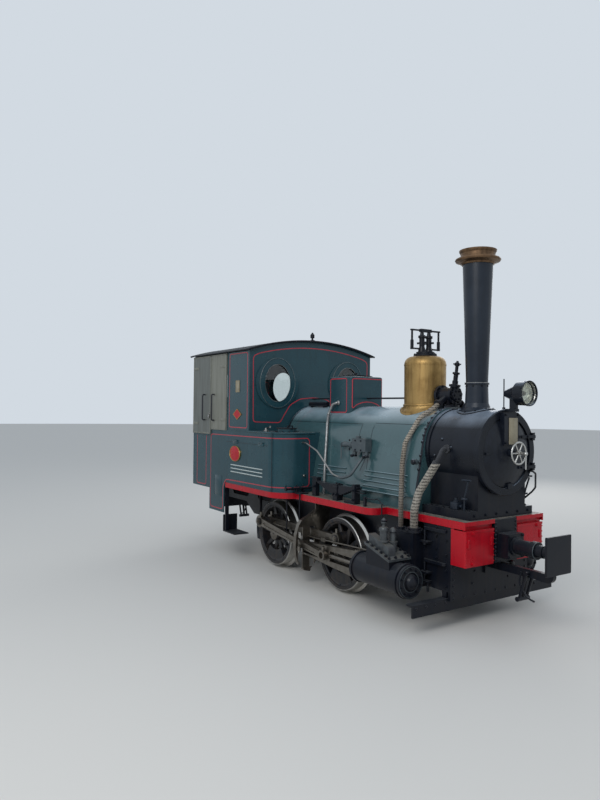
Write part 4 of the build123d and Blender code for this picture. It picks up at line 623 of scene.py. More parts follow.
@dataclass
class Form:
    """A closed mesh in the making, in millimetres of the engine's own frame."""

    name: str
    shape: bmesh.types.BMesh = field(default_factory=bmesh.new)

    def block(self, low: Point, high: Point, bevel: float) -> "Form":
        """Add a box between two opposite corners.

        Args:
            low: One corner.
            high: The other corner.
            bevel: The width of the softened edges.

        Returns:
            This form.
        """
        low, high = tuple(map(min, low, high)), tuple(map(max, low, high))
        verts = bmesh.ops.create_cube(self.shape, size=1.0)["verts"]
        for vert in verts:
            vert.co = Vector([a + (b - a) * (c + 0.5) for a, b, c in zip(low, high, vert.co)])
        edges = list(dict.fromkeys(edge for vert in verts for edge in vert.link_edges))
        bmesh.ops.bevel(self.shape, geom=edges, offset=bevel, segments=2, profile=0.5, affect="EDGES")
        return self

    def turned(self, profile: Profile, place: Point, way: Point = UP, steps: int = 32) -> "Form":
        """Add a turned piece.

        Args:
            profile: Closed (distance along the axis, radius) corners.
            place: Where distance 0 lies on the axis.
            way: The axis.
            steps: Sides of each ring.

        Returns:
            This form.
        """
        turn = Vector(way).to_track_quat("Z", "Y").to_matrix()
        rings = []
        for along, radius in profile:
            angles = [2 * math.pi * k / steps for k in range(steps)] if radius > 1e-6 else [0.0]
            rings.append([self.shape.verts.new(
                Vector(place) + turn @ Vector((radius * math.cos(a), radius * math.sin(a), along)))
                          for a in angles])
        for one, two in zip(rings, rings[1:] + rings[:1]):
            if len(one) == len(two) == 1:
                continue
            for k in range(steps):
                corners = [one[k % len(one)], two[k % len(two)], two[(k + 1) % len(two)],
                           one[(k + 1) % len(one)]]
                self.shape.faces.new(list(dict.fromkeys(corners)))
        return self

    def tube(self, route: Sequence[Point], radius: float, sides: int = 12) -> "Form":
        """Add a round bar that follows a route.

        Args:
            route: The points of its centre line.
            radius: Its radius.
            sides: Sides of its section.

        Returns:
            This form.
        """
        points = [Vector(p) for p in route]
        ways = [(b - a).normalized() for a, b in zip(points, points[1:])]
        across = ways[0].orthogonal().normalized()
        rings = []
        for k, point in enumerate(points):
            way = (ways[max(k - 1, 0)] + ways[min(k, len(ways) - 1)]).normalized()
            across = (across - way * across.dot(way)).normalized()
            up = way.cross(across)
            rings.append([self.shape.verts.new(point + radius * (
                across * math.cos(2 * math.pi * n / sides) + up * math.sin(2 * math.pi * n / sides)))
                for n in range(sides)])
        for one, two in zip(rings, rings[1:]):
            for n in range(sides):
                self.shape.faces.new([one[n], one[(n + 1) % sides], two[(n + 1) % sides], two[n]])
        self.shape.faces.new(rings[0][::-1])
        self.shape.faces.new(rings[-1])
        return self

    def strip(self, route: Sequence[Point], normals: Sequence[Point], width: float, proud: float = 0.7,
              closed: bool = False) -> "Form":
        """Add a flat strip that lies on a surface.

        Args:
            route: The points of its middle line, on the surface.
            normals: The surface's normal at each point, or one for all.
            width: Its width.
            proud: How far it stands out.
            closed: True if it ends where it starts.

        Returns:
            This form.
        """
        points = [Vector(p) for p in route]
        outs = [Vector(normals[k % len(normals)]).normalized() for k in range(len(points))]
        count = len(points)
        rings = []
        for k, (point, out) in enumerate(zip(points, outs)):
            before = points[(k - 1) % count] if closed or k else None
            after = points[(k + 1) % count] if closed or k < count - 1 else None
            sides = [(b - a).cross(out).normalized() for a, b in ((before, point), (point, after)) if a and b]
            side = sum(sides, Vector()).normalized()
            side *= 0.5 * width / max(side.dot(sides[0]), 0.3)
            rings.append([self.shape.verts.new(point + side * s + out * h)
                          for s, h in ((-1, -SUNK), (1, -SUNK), (1, proud), (-1, proud))])
        pairs = list(zip(rings, rings[1:] + rings[:1])) if closed else list(zip(rings, rings[1:]))
        for one, two in pairs:
            for n in range(4):
                self.shape.faces.new([one[n], one[(n + 1) % 4], two[(n + 1) % 4], two[n]])
        if not closed:
            self.shape.faces.new(rings[0][::-1])
            self.shape.faces.new(rings[-1])
        return self

    def slab(self, outline: Sequence[Point], way: Point) -> "Form":
        """Add a plate from a flat outline.

        Args:
            outline: Its corners in order.
            way: The direction and length of its thickness.

        Returns:
            This form.
        """
        low = [self.shape.verts.new(p) for p in outline]
        high = [self.shape.verts.new(Vector(p) + Vector(way)) for p in outline]
        self.shape.faces.new(low)
        self.shape.faces.new(high[::-1])
        for k, corner in enumerate(low):
            self.shape.faces.new([low[k - len(low) + 1], corner, high[k], high[k - len(low) + 1]])
        return self

    def reshape(self, rule: Callable[[Vector], Sequence[float]]) -> "Form":
        """Move every corner to where a rule says.

        Args:
            rule: Gives the new place for an old one.

        Returns:
            This form.
        """
        for vert in self.shape.verts:
            vert.co = rule(vert.co)
        return self

    def join(self, other: "Form") -> "Form":
        """Take over another form's mesh.

        Args:
            other: The form that ends here.

        Returns:
            This form.
        """
        mesh = bpy.data.meshes.new("joined")
        other.shape.to_mesh(mesh)
        other.shape.free()
        self.shape.from_mesh(mesh)
        bpy.data.meshes.remove(mesh)
        return self

    def both_sides(self) -> "Form":
        """Repeat everything so far on the engine's other side.

        Returns:
            This form.
        """
        made = bmesh.ops.duplicate(self.shape,
                                   geom=self.shape.verts[:] + self.shape.edges[:] + self.shape.faces[:])
        copies = [item for item in made["geom"] if isinstance(item, bmesh.types.BMVert)]
        for vert in copies:
            vert.co.y = -vert.co.y
        faces = [item for item in made["geom"] if isinstance(item, bmesh.types.BMFace)]
        bmesh.ops.reverse_faces(self.shape, faces=faces)
        return self

    def place(self, finish: bpy.types.Material, slot: str, body: Body = Body.ENGINE) -> None:
        """Turn the form into a piece that rides on a body.

        Args:
            finish: Its material.
            slot: The record's slot that the finish belongs to; not used.
            body: What it moves with.
        """
        bmesh.ops.recalc_face_normals(self.shape, faces=self.shape.faces)
        bmesh.ops.scale(self.shape, vec=(MM, MM, MM), verts=self.shape.verts)
        mesh = bpy.data.meshes.new(self.name)
        self.shape.to_mesh(mesh)
        self.shape.free()
        show(self.name, mesh, FORM_SHARP, finish, body)


def show(name: str, mesh: bpy.types.Mesh, sharp: float, finish: bpy.types.Material,
         body: Body) -> None:
    """Link a finished mesh as a piece of the engine.

    Args:
        name: The piece's name.
        mesh: Its plain mesh.
        sharp: Edges steeper than this stay sharp.
        finish: Its material.
        body: What it moves with.
    """
    mesh.shade_smooth()
    mesh.set_sharp_from_angle(angle=sharp)
    mesh.materials.clear()
    mesh.materials.append(finish)
    piece = bpy.data.objects.new(name, mesh)
    bpy.context.scene.collection.objects.link(piece)
    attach(piece, body.value)
    log.info("%s: %d faces", name, len(mesh.polygons))


# Repeated pieces, by Geometry Nodes
@dataclass
class NodeTree:
    """A Geometry Nodes tree with named inputs that ends in realised, painted instances."""

    name: str
    tree: bpy.types.NodeTree = field(init=False)

    def __post_init__(self) -> None:
        """Open the tree with its geometry sockets."""
        self.tree = bpy.data.node_groups.new(self.name, "GeometryNodeTree")
        face = self.tree.interface
        face.new_socket("Geometry", in_out="INPUT", socket_type="NodeSocketGeometry")
        face.new_socket("Geometry", in_out="OUTPUT", socket_type="NodeSocketGeometry")

    def inputs(self, sockets: dict[str, str]) -> bpy.types.Node:
        """Add named inputs.

        Args:
            sockets: The socket type by name.

        Returns:
            The group's input node.
        """
        for name, kind in sockets.items():
            self.tree.interface.new_socket(name, in_out="INPUT", socket_type=kind)
        return add(self.tree, "NodeGroupInput")

    def close(self, instances: Socket, material: Socket) -> None:
        """Realise the instances, paint them and end the tree.

        Args:
            instances: The instances.
            material: The material to set.
        """
        real = add(self.tree, "GeometryNodeRealizeInstances", links={0: instances})
        painted = add(self.tree, "GeometryNodeSetMaterial",
                      links={"Geometry": real.outputs[0], "Material": material})
        add(self.tree, "NodeGroupOutput", links={0: painted.outputs[0]})

    def grow(self, name: str, seeds: bpy.types.Mesh, values: dict[str, object]) -> bpy.types.Mesh:
        """Run the tree once and keep its result.

        Args:
            name: The new mesh's name.
            seeds: The mesh that the tree starts from.
            values: Input values by input name.

        Returns:
            A plain mesh.
        """
        holder = bpy.data.objects.new(name, seeds)
        bpy.context.scene.collection.objects.link(holder)
        modifier = holder.modifiers.new(self.tree.name, "NODES")
        modifier.node_group = self.tree
        for item in self.tree.interface.items_tree:
            if item.in_out == "INPUT" and item.name in values:
                modifier[item.identifier] = values[item.name]
        graph = bpy.context.evaluated_depsgraph_get()
        mesh = bpy.data.meshes.new_from_object(holder.evaluated_get(graph))
        bpy.data.objects.remove(holder)
        mesh.name = name
        return mesh


def fastener_tree(head: Head) -> NodeTree:
    """Build the tree that sets one head on each point, square to the surface.

    Args:
        head: A round rivet head, or a hexagon nut on a washer.

    Returns:
        The tree.
    """
    kit = NodeTree(f"{head.value}_heads")
    tree = kit.tree
    group = kit.inputs({"Radius": "NodeSocketFloat", "Height": "NodeSocketFloat", "Seed": "NodeSocketInt",
                        "Material": "NodeSocketMaterial"})
    radius, height = group.outputs["Radius"], group.outputs["Height"]
    if head is Head.ROUND:
        ball = add(tree, "GeometryNodeMeshIcoSphere", {"Radius": 1.0, "Subdivisions": 2})
        size = add(tree, "ShaderNodeCombineXYZ", links={0: radius, 1: radius, 2: height})
        shape = add(tree, "GeometryNodeTransform", links={
            "Geometry": ball.outputs[0], "Scale": size.outputs[0]}).outputs[0]
    else:
        parts = []
        # The nut, its washer and the stud's end, in shares of the nut's radius and height.
        for sides, wide, tall in ((6, 1.0, 1.0), (14, 1.28, 0.3), (8, 0.52, 1.5)):
            reach = add(tree, "ShaderNodeMath", {"operation": "MULTIPLY", 1: wide}, {0: radius}).outputs[0]
            depth = add(tree, "ShaderNodeMath", {"operation": "MULTIPLY", 1: tall}, {0: height}).outputs[0]
            bar = add(tree, "GeometryNodeMeshCylinder", {"Vertices": sides},
                      {"Radius": reach, "Depth": depth})
            half = add(tree, "ShaderNodeMath", {"operation": "MULTIPLY", 1: 0.5}, {0: depth}).outputs[0]
            lift = add(tree, "ShaderNodeCombineXYZ", links={2: half})
            parts.append(add(tree, "GeometryNodeTransform", links={
                "Geometry": bar.outputs[0], "Translation": lift.outputs[0]}).outputs[0])
        joined = add(tree, "GeometryNodeJoinGeometry")
        for part in parts:
            tree.links.new(part, joined.inputs[0])
        shape = joined.outputs[0]
    aim = add(tree, "GeometryNodeInputNamedAttribute", {"data_type": "FLOAT_VECTOR", "Name": "aim"})
    square = add(tree, "FunctionNodeAlignRotationToVector", {"axis": "Z"}, {"Vector": aim.outputs[0]})
    chance = add(tree, "FunctionNodeRandomValue", {"data_type": "FLOAT", 3: math.pi},
                 {"Seed": group.outputs["Seed"]})
    spin = add(tree, "FunctionNodeAxisAngleToRotation", {"Axis": (0, 0, 1)}, {"Angle": chance.outputs[1]})
    turn = add(tree, "FunctionNodeRotateRotation", {"rotation_space": "LOCAL"},
               {0: square.outputs[0], 1: spin.outputs[0]})
    heads = add(tree, "GeometryNodeInstanceOnPoints", links={
        "Points": group.outputs["Geometry"], "Instance": shape, "Rotation": turn.outputs[0]})
    kit.close(heads.outputs[0], group.outputs["Material"])
    return kit


def slat_tree() -> NodeTree:
    """Build the tree that repeats a tilted slat at even steps.

    Returns:
        The tree.
    """
    kit = NodeTree("slats")
    tree = kit.tree
    group = kit.inputs({"Count": "NodeSocketInt", "Start": "NodeSocketVector", "Step": "NodeSocketVector",
                        "Size": "NodeSocketVector", "Tilt": "NodeSocketFloat",
                        "Material": "NodeSocketMaterial"})
    line = add(tree, "GeometryNodeMeshLine", {}, {
        "Count": group.outputs["Count"], "Start Location": group.outputs["Start"],
        "Offset": group.outputs["Step"]})
    bar = add(tree, "GeometryNodeMeshCylinder", {"Vertices": 12, "Radius": 0.5, "Depth": 1.0})
    lying = add(tree, "GeometryNodeTransform", {"Rotation": (0, math.pi / 2, 0)},
                {"Geometry": bar.outputs[0]})
    slat = add(tree, "GeometryNodeTransform",
               links={"Geometry": lying.outputs[0], "Scale": group.outputs["Size"]})
    turn = add(tree, "ShaderNodeCombineXYZ", links={0: group.outputs["Tilt"]})
    slats = add(tree, "GeometryNodeInstanceOnPoints", links={
        "Points": line.outputs[0], "Instance": slat.outputs[0], "Rotation": turn.outputs[0]})
    kit.close(slats.outputs[0], group.outputs["Material"])
    return kit


@dataclass
class Fasteners:
    """One body's rivets or nuts of one size, in millimetres."""

    name: str
    kit: NodeTree
    radius: float
    height: float
    seed: int = 5
    spots: list[tuple[Point, Point]] = field(default_factory=list)

    def at(self, places: Iterable[Point], way: Point) -> "Fasteners":
        """Add a head at each place, all facing one way."""
        self.spots += [(tuple(place), way) for place in places]
        return self

    def row(self, start: Point, end: Point, count: int, way: Point) -> "Fasteners":
        """Add an even row of heads from a start to an end, all facing one way."""
        a, b = Vector(start), Vector(end)
        return self.at([a.lerp(b, k / max(count - 1, 1)) for k in range(count)], way)

    def ring(self, centre: Point, radius: float, count: int, way: Point, first: float = 0.0,
             outward: bool = False) -> "Fasteners":
        """Add a circle of heads.

        Args:
            centre: The circle's centre.
            radius: Its radius.
            count: How many heads.
            way: The circle's axis.
            first: The first head's angle in degrees.
            outward: True if the heads face away from the axis.

        Returns:
            These fasteners.
        """
        turn = Vector(way).to_track_quat("Z", "Y").to_matrix()
        for k in range(count):
            angle = math.radians(first + 360 * k / count)
            out = turn @ Vector((math.cos(angle), math.sin(angle), 0))
            self.spots.append((tuple(Vector(centre) + radius * out), tuple(out) if outward else way))
        return self

    def both_sides(self) -> "Fasteners":
        """Repeat every head so far on the engine's other side."""
        self.spots += [((p[0], -p[1], p[2]), (w[0], -w[1], w[2])) for p, w in self.spots]
        return self

    def place(self, finish: bpy.types.Material, slot: str, body: Body = Body.ENGINE) -> None:
        """Grow the heads into one piece that rides on a body.

        Args:
            finish: Its material.
            slot: The record's slot that the finish belongs to; not used.
            body: What it moves with.
        """
        seeds = bpy.data.meshes.new("spots")
        seeds.from_pydata([tuple(MM * c for c in place) for place, _ in self.spots], [], [])
        aim = seeds.attributes.new("aim", "FLOAT_VECTOR", "POINT")
        for k, (_, way) in enumerate(self.spots):
            aim.data[k].vector = way
        mesh = self.kit.grow(self.name, seeds, {
            "Radius": self.radius * MM, "Height": self.height * MM, "Seed": self.seed, "Material": finish})
        show(self.name, mesh, HEAD_SHARP, finish, body)


def arc(start: Vector, corner: Vector, end: Vector, steps: int) -> list[Vector]:
    """Draw the curve that leaves toward a corner and arrives from it."""
    return [start.lerp(corner, t).lerp(corner.lerp(end, t), t) for t in (n / steps for n in range(steps + 1))]


def rounded(corners: Sequence[Sequence[float]], radius: float, closed: bool = True,
            steps: int = 4) -> list[Vector]:
    """Round the corners of a route.

    Args:
        corners: The route's corners.
        radius: How far the rounding reaches along each side.
        closed: True if the route ends where it starts.
        steps: Pieces of each rounded corner.

    Returns:
        The finer route.
    """
    points = [Vector(corner) for corner in corners]
    route = []
    for k, point in enumerate(points):
        if not closed and k in (0, len(points) - 1):
            route.append(point)
            continue
        before, after = points[k - 1] - point, points[(k + 1) % len(points)] - point
        a = point + before.normalized() * min(radius, 0.45 * before.length)
        b = point + after.normalized() * min(radius, 0.45 * after.length)
        route += arc(a, point, b, steps)
    return route


def bent(corners: Sequence[Point], radii: Sequence[float], steps: int = 5) -> list[Vector]:
    """Bend a pipe's centre line at its inner corners.

    Args:
        corners: The corners and the two ends.
        radii: The bend radius at each inner corner.
        steps: Pieces of each bend.

    Returns:
        The finer route.
    """
    points = [Vector(corner) for corner in corners]
    route = [points[0]]
    for before, point, after, radius in zip(points, points[1:], points[2:], radii):
        back, on = (before - point).normalized(), (after - point).normalized()
        reach = radius / math.tan(back.angle(on) / 2)
        a, b = point + back * reach, point + on * reach
        route += arc(a, point, b, steps)
    return route + [points[-1]]


def spaced(route: Sequence[Vector], longest: float) -> list[Vector]:
    """Split a closed route's long sides.

    Args:
        route: The route.
        longest: The longest side that may stay.

    Returns:
        The finer route.
    """
    finer = []
    for a, b in zip(route, list(route[1:]) + [route[0]]):
        count = max(1, math.ceil((b - a).length / longest))
        finer += [a.lerp(b, n / count) for n in range(count)]
    return finer


# Painted frame
@dataclass
class PaintShop:
    """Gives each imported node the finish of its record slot."""

    finishes: dict[str, bpy.types.Material] = field(default_factory=dict)

    def mix(self) -> None:
        """Build every finish once."""
        self.finishes = {name: finish.build() for name, finish in FINISHES.items()}
        for leaf, finish in (("rear", REAR_DOOR_LEAF.build()), ("front", DOOR_LEAF.build())):
            self.finishes.update({f"door_{leaf}_{hand}": finish for hand in ("right", "left")})

    def paint(self, name: str) -> tuple[bpy.types.Material, str]:
        """Look up a finish and the record's slot that it belongs to."""
        return self.finishes[name], TRIM_SLOTS.get(name, name)

    def dress_nodes(self) -> None:
        """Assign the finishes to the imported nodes."""
        for row in frame["record"]["subparts"]:
            node, slot = row["node"], row["material_slot"]
            mesh = frame["nodes"][node].data
            mesh.materials.clear()
            mesh.materials.append(self.finishes.get(node) or self.finishes[slot])
            log.info("%s painted as %s", node, slot)


@dataclass
class Workshop:
    """The paints and the repeated heads that every sub-assembly uses."""

    shop: PaintShop
    rivet: NodeTree = field(default_factory=lambda: fastener_tree(Head.ROUND))
    nut: NodeTree = field(default_factory=lambda: fastener_tree(Head.HEX))
    slat: NodeTree = field(default_factory=slat_tree)

    def rivets(self, name: str, radius: float, height: float | None = None) -> Fasteners:
        """Start a set of round heads."""
        return Fasteners(name, self.rivet, radius, height or 0.55 * radius)

    def nuts(self, name: str, radius: float, height: float | None = None) -> Fasteners:
        """Start a set of hexagon nuts."""
        return Fasteners(name, self.nut, radius, height or 0.8 * radius)

    def slats(self, name: str, paint: str, rows: Sequence["SlatRow"], body: Body = Body.ENGINE) -> None:
        """Make rows of slats on both sides of the engine.

        Args:
            name: The piece's name.
            paint: The paint's name.
            rows: The rows on the right side.
            body: What they move with.
        """
        whole = bmesh.new()
        for row in rows:
            mesh = row.grow(self, paint)
            whole.from_mesh(mesh)
            bpy.data.meshes.remove(mesh)
        form = Form(name, whole)
        bmesh.ops.scale(whole, vec=(1 / MM, 1 / MM, 1 / MM), verts=whole.verts)
        form.both_sides().place(*self.shop.paint(paint), body)


@dataclass
class Assembly:
    """A sub-assembly of the engine, with the workshop that serves it. Its sizes are millimetres."""

    work: Workshop

    def fit(self, piece: Form | Fasteners, paint: str, body: Body = Body.ENGINE) -> None:
        """Finish a piece and hang it on its body."""
        piece.place(*self.work.shop.paint(paint), body)

    def pair(self, piece: Form | Fasteners, paint: str) -> None:
        """Repeat a piece on the engine's other side, then finish it."""
        self.fit(piece.both_sides(), paint)


@dataclass
class SlatRow:
    """Slats of one size at even steps, in millimetres."""

    count: int
    start: Point
    step: Point
    size: Point
    tilt: float = 0.0

    def grow(self, work: Workshop, paint: str) -> bpy.types.Mesh:
        """Run the slat tree.

        Args:
            work: The workshop.
            paint: The paint's name.

        Returns:
            A plain mesh in metres.
        """
        seeds = bpy.data.meshes.new("start")
        return work.slat.grow("slats", seeds, {
            "Count": self.count, "Start": [MM * c for c in self.start], "Step": [MM * c for c in self.step],
            "Size": [MM * c for c in self.size], "Tilt": math.radians(self.tilt),
            "Material": work.shop.finishes[paint]})


# Cab and tanks
@dataclass
class Cab(Assembly):
    """Lining, blank plates, door fittings, window rings and roof edges of the cab."""

    half_w: float = 885.0
    front_x: float = -666.0
    rear_x: float = -2156.0
    roof_r: float = 3032.9
    roof_x: tuple[float, float] = (-2196.0, -626.0)
    roof_half_w: float = 923.0
    apex_z: float = 2602.0
    eave_z: float = 2440.0
    waist_z: float = 1531.0
    rear_waist_z: float = 1452.0
    door_y: float = 899.3
    line: float = 10.0
    window: tuple[float, float, float] = (513.0, 2092.0, 292.0)
    window_half_w: float = 238.0
    number_panel: tuple[float, float, float, float] = (-1146.0, -711.0, 1568.0, 2434.0)
    rear_panel: tuple[float, float, float, float] = (-2035.0, -1767.0, 820.0, 1455.0)
    cream_plate: tuple[float, float, float, float] = (-980.0, -893.0, 1980.0, 2118.0)
    red_oval: tuple[float, float] = (-977.0, 1261.0)
    gauge: tuple[float, float, float] = (-838.0, 150.0, 1742.0)
    # Each leaf's hinge, free edge, foot and the heights of its studs.
    leaves: tuple[tuple[str, float, float, float, tuple[int, ...]], ...] = (
        ("rear", -2140.0, -1640.0, 1462, ()), ("front", -1216.0, -1612.0, 1524, (2196, 2262, 2330, 2400)))

    def arch(self, y: float, drop: float) -> float:
        """Find the height of a line below the roof's underside."""
        return self.apex_z - self.roof_r + math.sqrt(self.roof_r ** 2 - y ** 2) - drop

    def lining(self) -> None:
        """Paint the red lines on side panels and end walls."""
        side = -self.half_w
        sides, ends = Form("cab_side_lining"), Form("cab_end_lining")
        x0, x1, z0, z1 = self.number_panel
        sides.strip(rounded([(x0, side, z0), (x1, side, z0), (x1, side, z1), (x0, side, z1)], 34), [RIGHT],
                    self.line, closed=True)
        x0, x1, z0, z1 = self.rear_panel
        sides.strip(rounded([(x0, side, z1), (x0, side, z0), (x1, side, z0), (x1, side, z1)], 30, False),
                    [RIGHT], self.line)
        self.pair(sides, "lining_red")
        top = [(-836, 2392)] + [(y, self.arch(y, 78)) for y in range(-760, 761, 95)] + [(836, 2392)]
        over_tanks = [(830, 1640), (469, 1629), (428, 1696), (332, 1838), (191, 1911)]
        over_tanks += [(0, 1929)] + [(-y, z) for y, z in reversed(over_tanks)]
        for x, way, foot in ((self.front_x, AHEAD, over_tanks),
                             (self.rear_x, BACK, [(836, 990), (-836, 990)])):
            ends.strip(rounded([(x, y, z) for y, z in top + foot], 40), [way], self.line + 1, closed=True)
        self.fit(ends, "lining_red")

    def oval(self, profile: Profile) -> Form:
        """Turn a profile on the right side and stretch it to the red plate's oval.

        Args:
            profile: Closed (distance from the side, half the oval's height) corners.

        Returns:
            The stretched form.
        """
        x, z = self.red_oval
        whole = Form("oval").turned(profile, (0, -self.half_w, z), RIGHT, 64)
        return whole.reshape(lambda v: (1.4 * v.x + x, v.y, v.z))

    def plates(self) -> None:
        """Fasten the blank cast plates to the sides: a cream one, a red diamond and a red oval."""
        side = -self.half_w
        x0, x1, z0, z1 = self.cream_plate
        face = Form("cab_blank_plate").block((x0, side - 6, z0), (x1, side + 2, z1), 2.5)
        face.strip([(x0 + 2, side, z0 + 2), (x1 - 2, side, z0 + 2), (x1 - 2, side, z1 - 2),
                    (x0 + 2, side, z1 - 2)],
                   [RIGHT], 5, 8.5, True)
        self.pair(face, "cream_enamel")
        diamond = [(-1042, side, 1722), (-942, side, 1661), (-840, side, 1722), (-942, side, 1784)]
        rims = Form("cab_plate_rims").strip(diamond, [RIGHT], 5, 7, True)
        rims.join(self.oval([(-1, 86), (12, 86), (16, 89), (12, 92), (-1, 92)]))
        self.pair(rims, "polished_brass")
        red = Form("cab_red_plates").slab(diamond, (0, -5, 0))
        red.join(self.oval([(-1, 0), (-1, 87), (11, 87), (14, 60), (15, 0)]))
        self.pair(red, "signal_red")
        screws = self.work.rivets("cab_plate_screws", 5.0)
        screws.at([(x, side - 6, z) for x in (x0 + 10, x1 - 10) for z in (z0 + 10, z1 - 10)], RIGHT)
        screws.at([(x, side - 5, 1722) for x in (-1018, -864)], RIGHT)
        screws.at([(x, side - 13, self.red_oval[1]) for x in (-1072, -882)], RIGHT)
        self.pair(screws, "polished_brass")

    def door_fittings(self) -> None:
        """Put hinge straps, edge strips and the padlock on the four door leaves."""
        for sign, hand in ((-1, "right"), (1, "left")):
            y, out = sign * self.door_y, (0, sign, 0)
            for leaf, hinge_x, free_x, low, studs in self.leaves:
                body = Body(f"door_{leaf}_{hand}")
                away = math.copysign(1, free_x - hinge_x)
                trim = Form(f"{body.value}_straps")
                nails = self.work.rivets(f"{body.value}_rivets", 5.0)
                for z in (low + 130, 2300):
                    a, b = sorted((hinge_x, hinge_x + away * 150))
                    trim.block((a, y - sign * 0.5, z - 16), (b, y + sign * 4.5, z + 16), 1.5)
                    nails.row((a + 22, y + sign * 4.5, z), (b - 18, y + sign * 4.5, z), 3, out)
                for x in (free_x, hinge_x + away * 4):
                    trim.strip([(x, y, low + 6), (x, y, self.eave_z + 6)], [out], 14, 2.2)
                for z in (low + 12, self.eave_z):
                    trim.strip([(hinge_x, y, z), (free_x, y, z)], [out], 14, 2.2)
                for z in studs:
                    trim.block((free_x - 9, y - sign * 0.5, z - 13), (free_x + 9, y + sign * 7.5, z + 13), 2)
                self.fit(trim, "door_grey", body)
                self.fit(nails, "door_grey", body)
            lock = Form(f"door_padlock_{hand}").block((-1668, y, 1664), (-1636, y + sign * 22, 1704), 4)
            shackle = ((-1661, 1700), (-1661, 1724), (-1652, 1732), (-1643, 1724), (-1643, 1700))
            lock.tube([(x, y + sign * 11, z) for x, z in shackle], 3.6)
            lock.block((-1672, y, 1720), (-1634, y + sign * 5, 1736), 1.5)
            self.fit(lock, "polished_steel", Body(f"door_rear_{hand}"))

    def edges(self) -> None:
        """Run beads and rivets along the roof, the corner posts and the waist."""
        side, w, (rear, front) = -self.half_w, self.roof_half_w, self.roof_x
        roof = Form("roof_edge_beads")
        for x in (rear, front):
            roof.tube([(x, k * w / 12, self.arch(k * w / 12, -4)) for k in range(-12, 13)], 11, 10)
        for sign in (-1, 1):
            roof.tube([(x, sign * (w - 6), self.arch(w, 0) + 9) for x in (rear - 5, front + 5)], 8, 10)
        self.fit(roof, "frame_black")
        nails = self.work.rivets("roof_rivets", 6.0)
        for x in (-2120, -1411, -702):
            nails.spots += [((x, y, self.arch(y, -13.5)), (0, y / self.roof_r, 1))
                            for y in range(-840, 841, 70)]
        self.fit(nails, "frame_black")
        posts = Form("cab_corner_beads")
        for x, low in ((self.front_x - 5, 1545), (self.rear_x + 5, 905)):
            posts.tube([(x, side + 4, low), (x, side + 4, self.eave_z)], 7, 8)
        waist = self.work.rivets("cab_waist_rivets", 5.0)
        for x0, x1, z in ((-1200, self.front_x, self.waist_z), (-2150, -1632, self.rear_waist_z)):
            posts.strip([(x0, side, z), (x1, side, z)], [RIGHT], 16, 4)
        self.pair(posts, "deep_green")
        for x0, x1, z in ((-1190, -680, self.waist_z), (-2140, -1640, self.rear_waist_z)):
            waist.row((x0, side - 4, z), (x1, side - 4, z), 10, RIGHT)
        waist.row((-2144, side, 820), (-2144, side, 1430), 10, RIGHT)
        self.pair(waist, "deep_green")

    def window_rings(self, name: str, sections: Sequence[Profile], tall: float) -> Form:
        """Turn rings round all four windows and stretch them to upright ovals.

        Args:
            name: The piece's name.
            sections: Closed (distance from the sheet, share of the oval) corners of each ring.
            tall: Half the oval's height.

        Returns:
            The rings. The inner ones are a little slimmer than the outer ones.
        """
        y0, z0, _ = self.window
        whole = Form(name)
        for x, way in ((self.front_x, AHEAD), (self.rear_x, BACK)):
            for y in (-y0, y0):
                ring = Form("ring")
                for section in sections:
                    ring.turned(section, (0, 0, 0), way, 72)
                slim = (lambda v: 1.0 if math.hypot(v.y, v.z) > 0.9 else 0.96)
                whole.join(ring.reshape(
                    lambda v: (v.x + x, v.y * self.window_half_w * slim(v) + y, v.z * tall + z0)))
        return whole

    def windows(self) -> None:
        """Give the four windows their oval inner frames, beads and bolts, with thin pale lines round the
        rings' edges as painted highlights.
        """
        y0, z0, r = self.window
        wide, tall = self.window_half_w, r - 2
        plate = [(12, 0.76), (12, 1), (14, 1), (14, 0.76)]
        outer_bead = [(12, 0.972), (17, 0.972), (19.5, 0.985), (17, 1.0), (12, 1.0)]
        inner_bead = [(12, 0.755), (17, 0.76), (18, 0.775), (17, 0.79), (12, 0.79)]
        self.fit(self.window_rings("window_frames", (plate, outer_bead, inner_bead), tall), "deep_green")
        bolts = self.work.rivets("window_bolts", 6.0)
        for x, way in ((self.front_x, 1), (self.rear_x, -1)):
            for y in (-y0, y0):
                for turn in (math.radians(22.5 * k + 11) for k in range(16)):
                    spot = (x + way * 14, y + 0.885 * wide * math.cos(turn),
                            z0 + 0.885 * tall * math.sin(turn))
                    bolts.spots.append((spot, (way, 0, 0)))
        self.fit(bolts, "deep_green")
        # Pale grey lines round the rings' edges: painted highlights of the beads.
        outer_highlight = [(12, 1.0), (16, 1.0), (16, 1.013), (12, 1.013)]
        inner_highlight = [(13, 0.748), (15.5, 0.748), (15.5, 0.76), (13, 0.76)]
        self.fit(self.window_rings("window_edge_highlights", (outer_highlight, inner_highlight), tall - 2), "bare_pipe")

    def inside(self) -> None:
        """Mount the two gauges on the boiler's back."""
        rims, dials = Form("gauge_rims"), Form("gauge_dials")
        x, y0, z = self.gauge
        for y in (-y0, y0):
            rims.turned([(-14, 0), (-14, 64), (14, 68), (22, 66), (22, 58), (4, 58), (4, 0)],
                        (x, y, z), BACK, 40)
            rims.tube([(x - 2, y, z - 52), (x, y, z - 102), (x - 8, y, z - 142)], 8)
            dials.turned([(3, 0), (3, 58), (6, 57), (6, 0)], (x, y, z), BACK, 40)
        self.fit(rims, "polished_brass")
        self.fit(dials, "cream_enamel")

    def build(self) -> None:
        """Dress the cab."""
        self.lining()
        self.plates()
        self.door_fittings()
        self.edges()
        self.windows()
        self.inside()


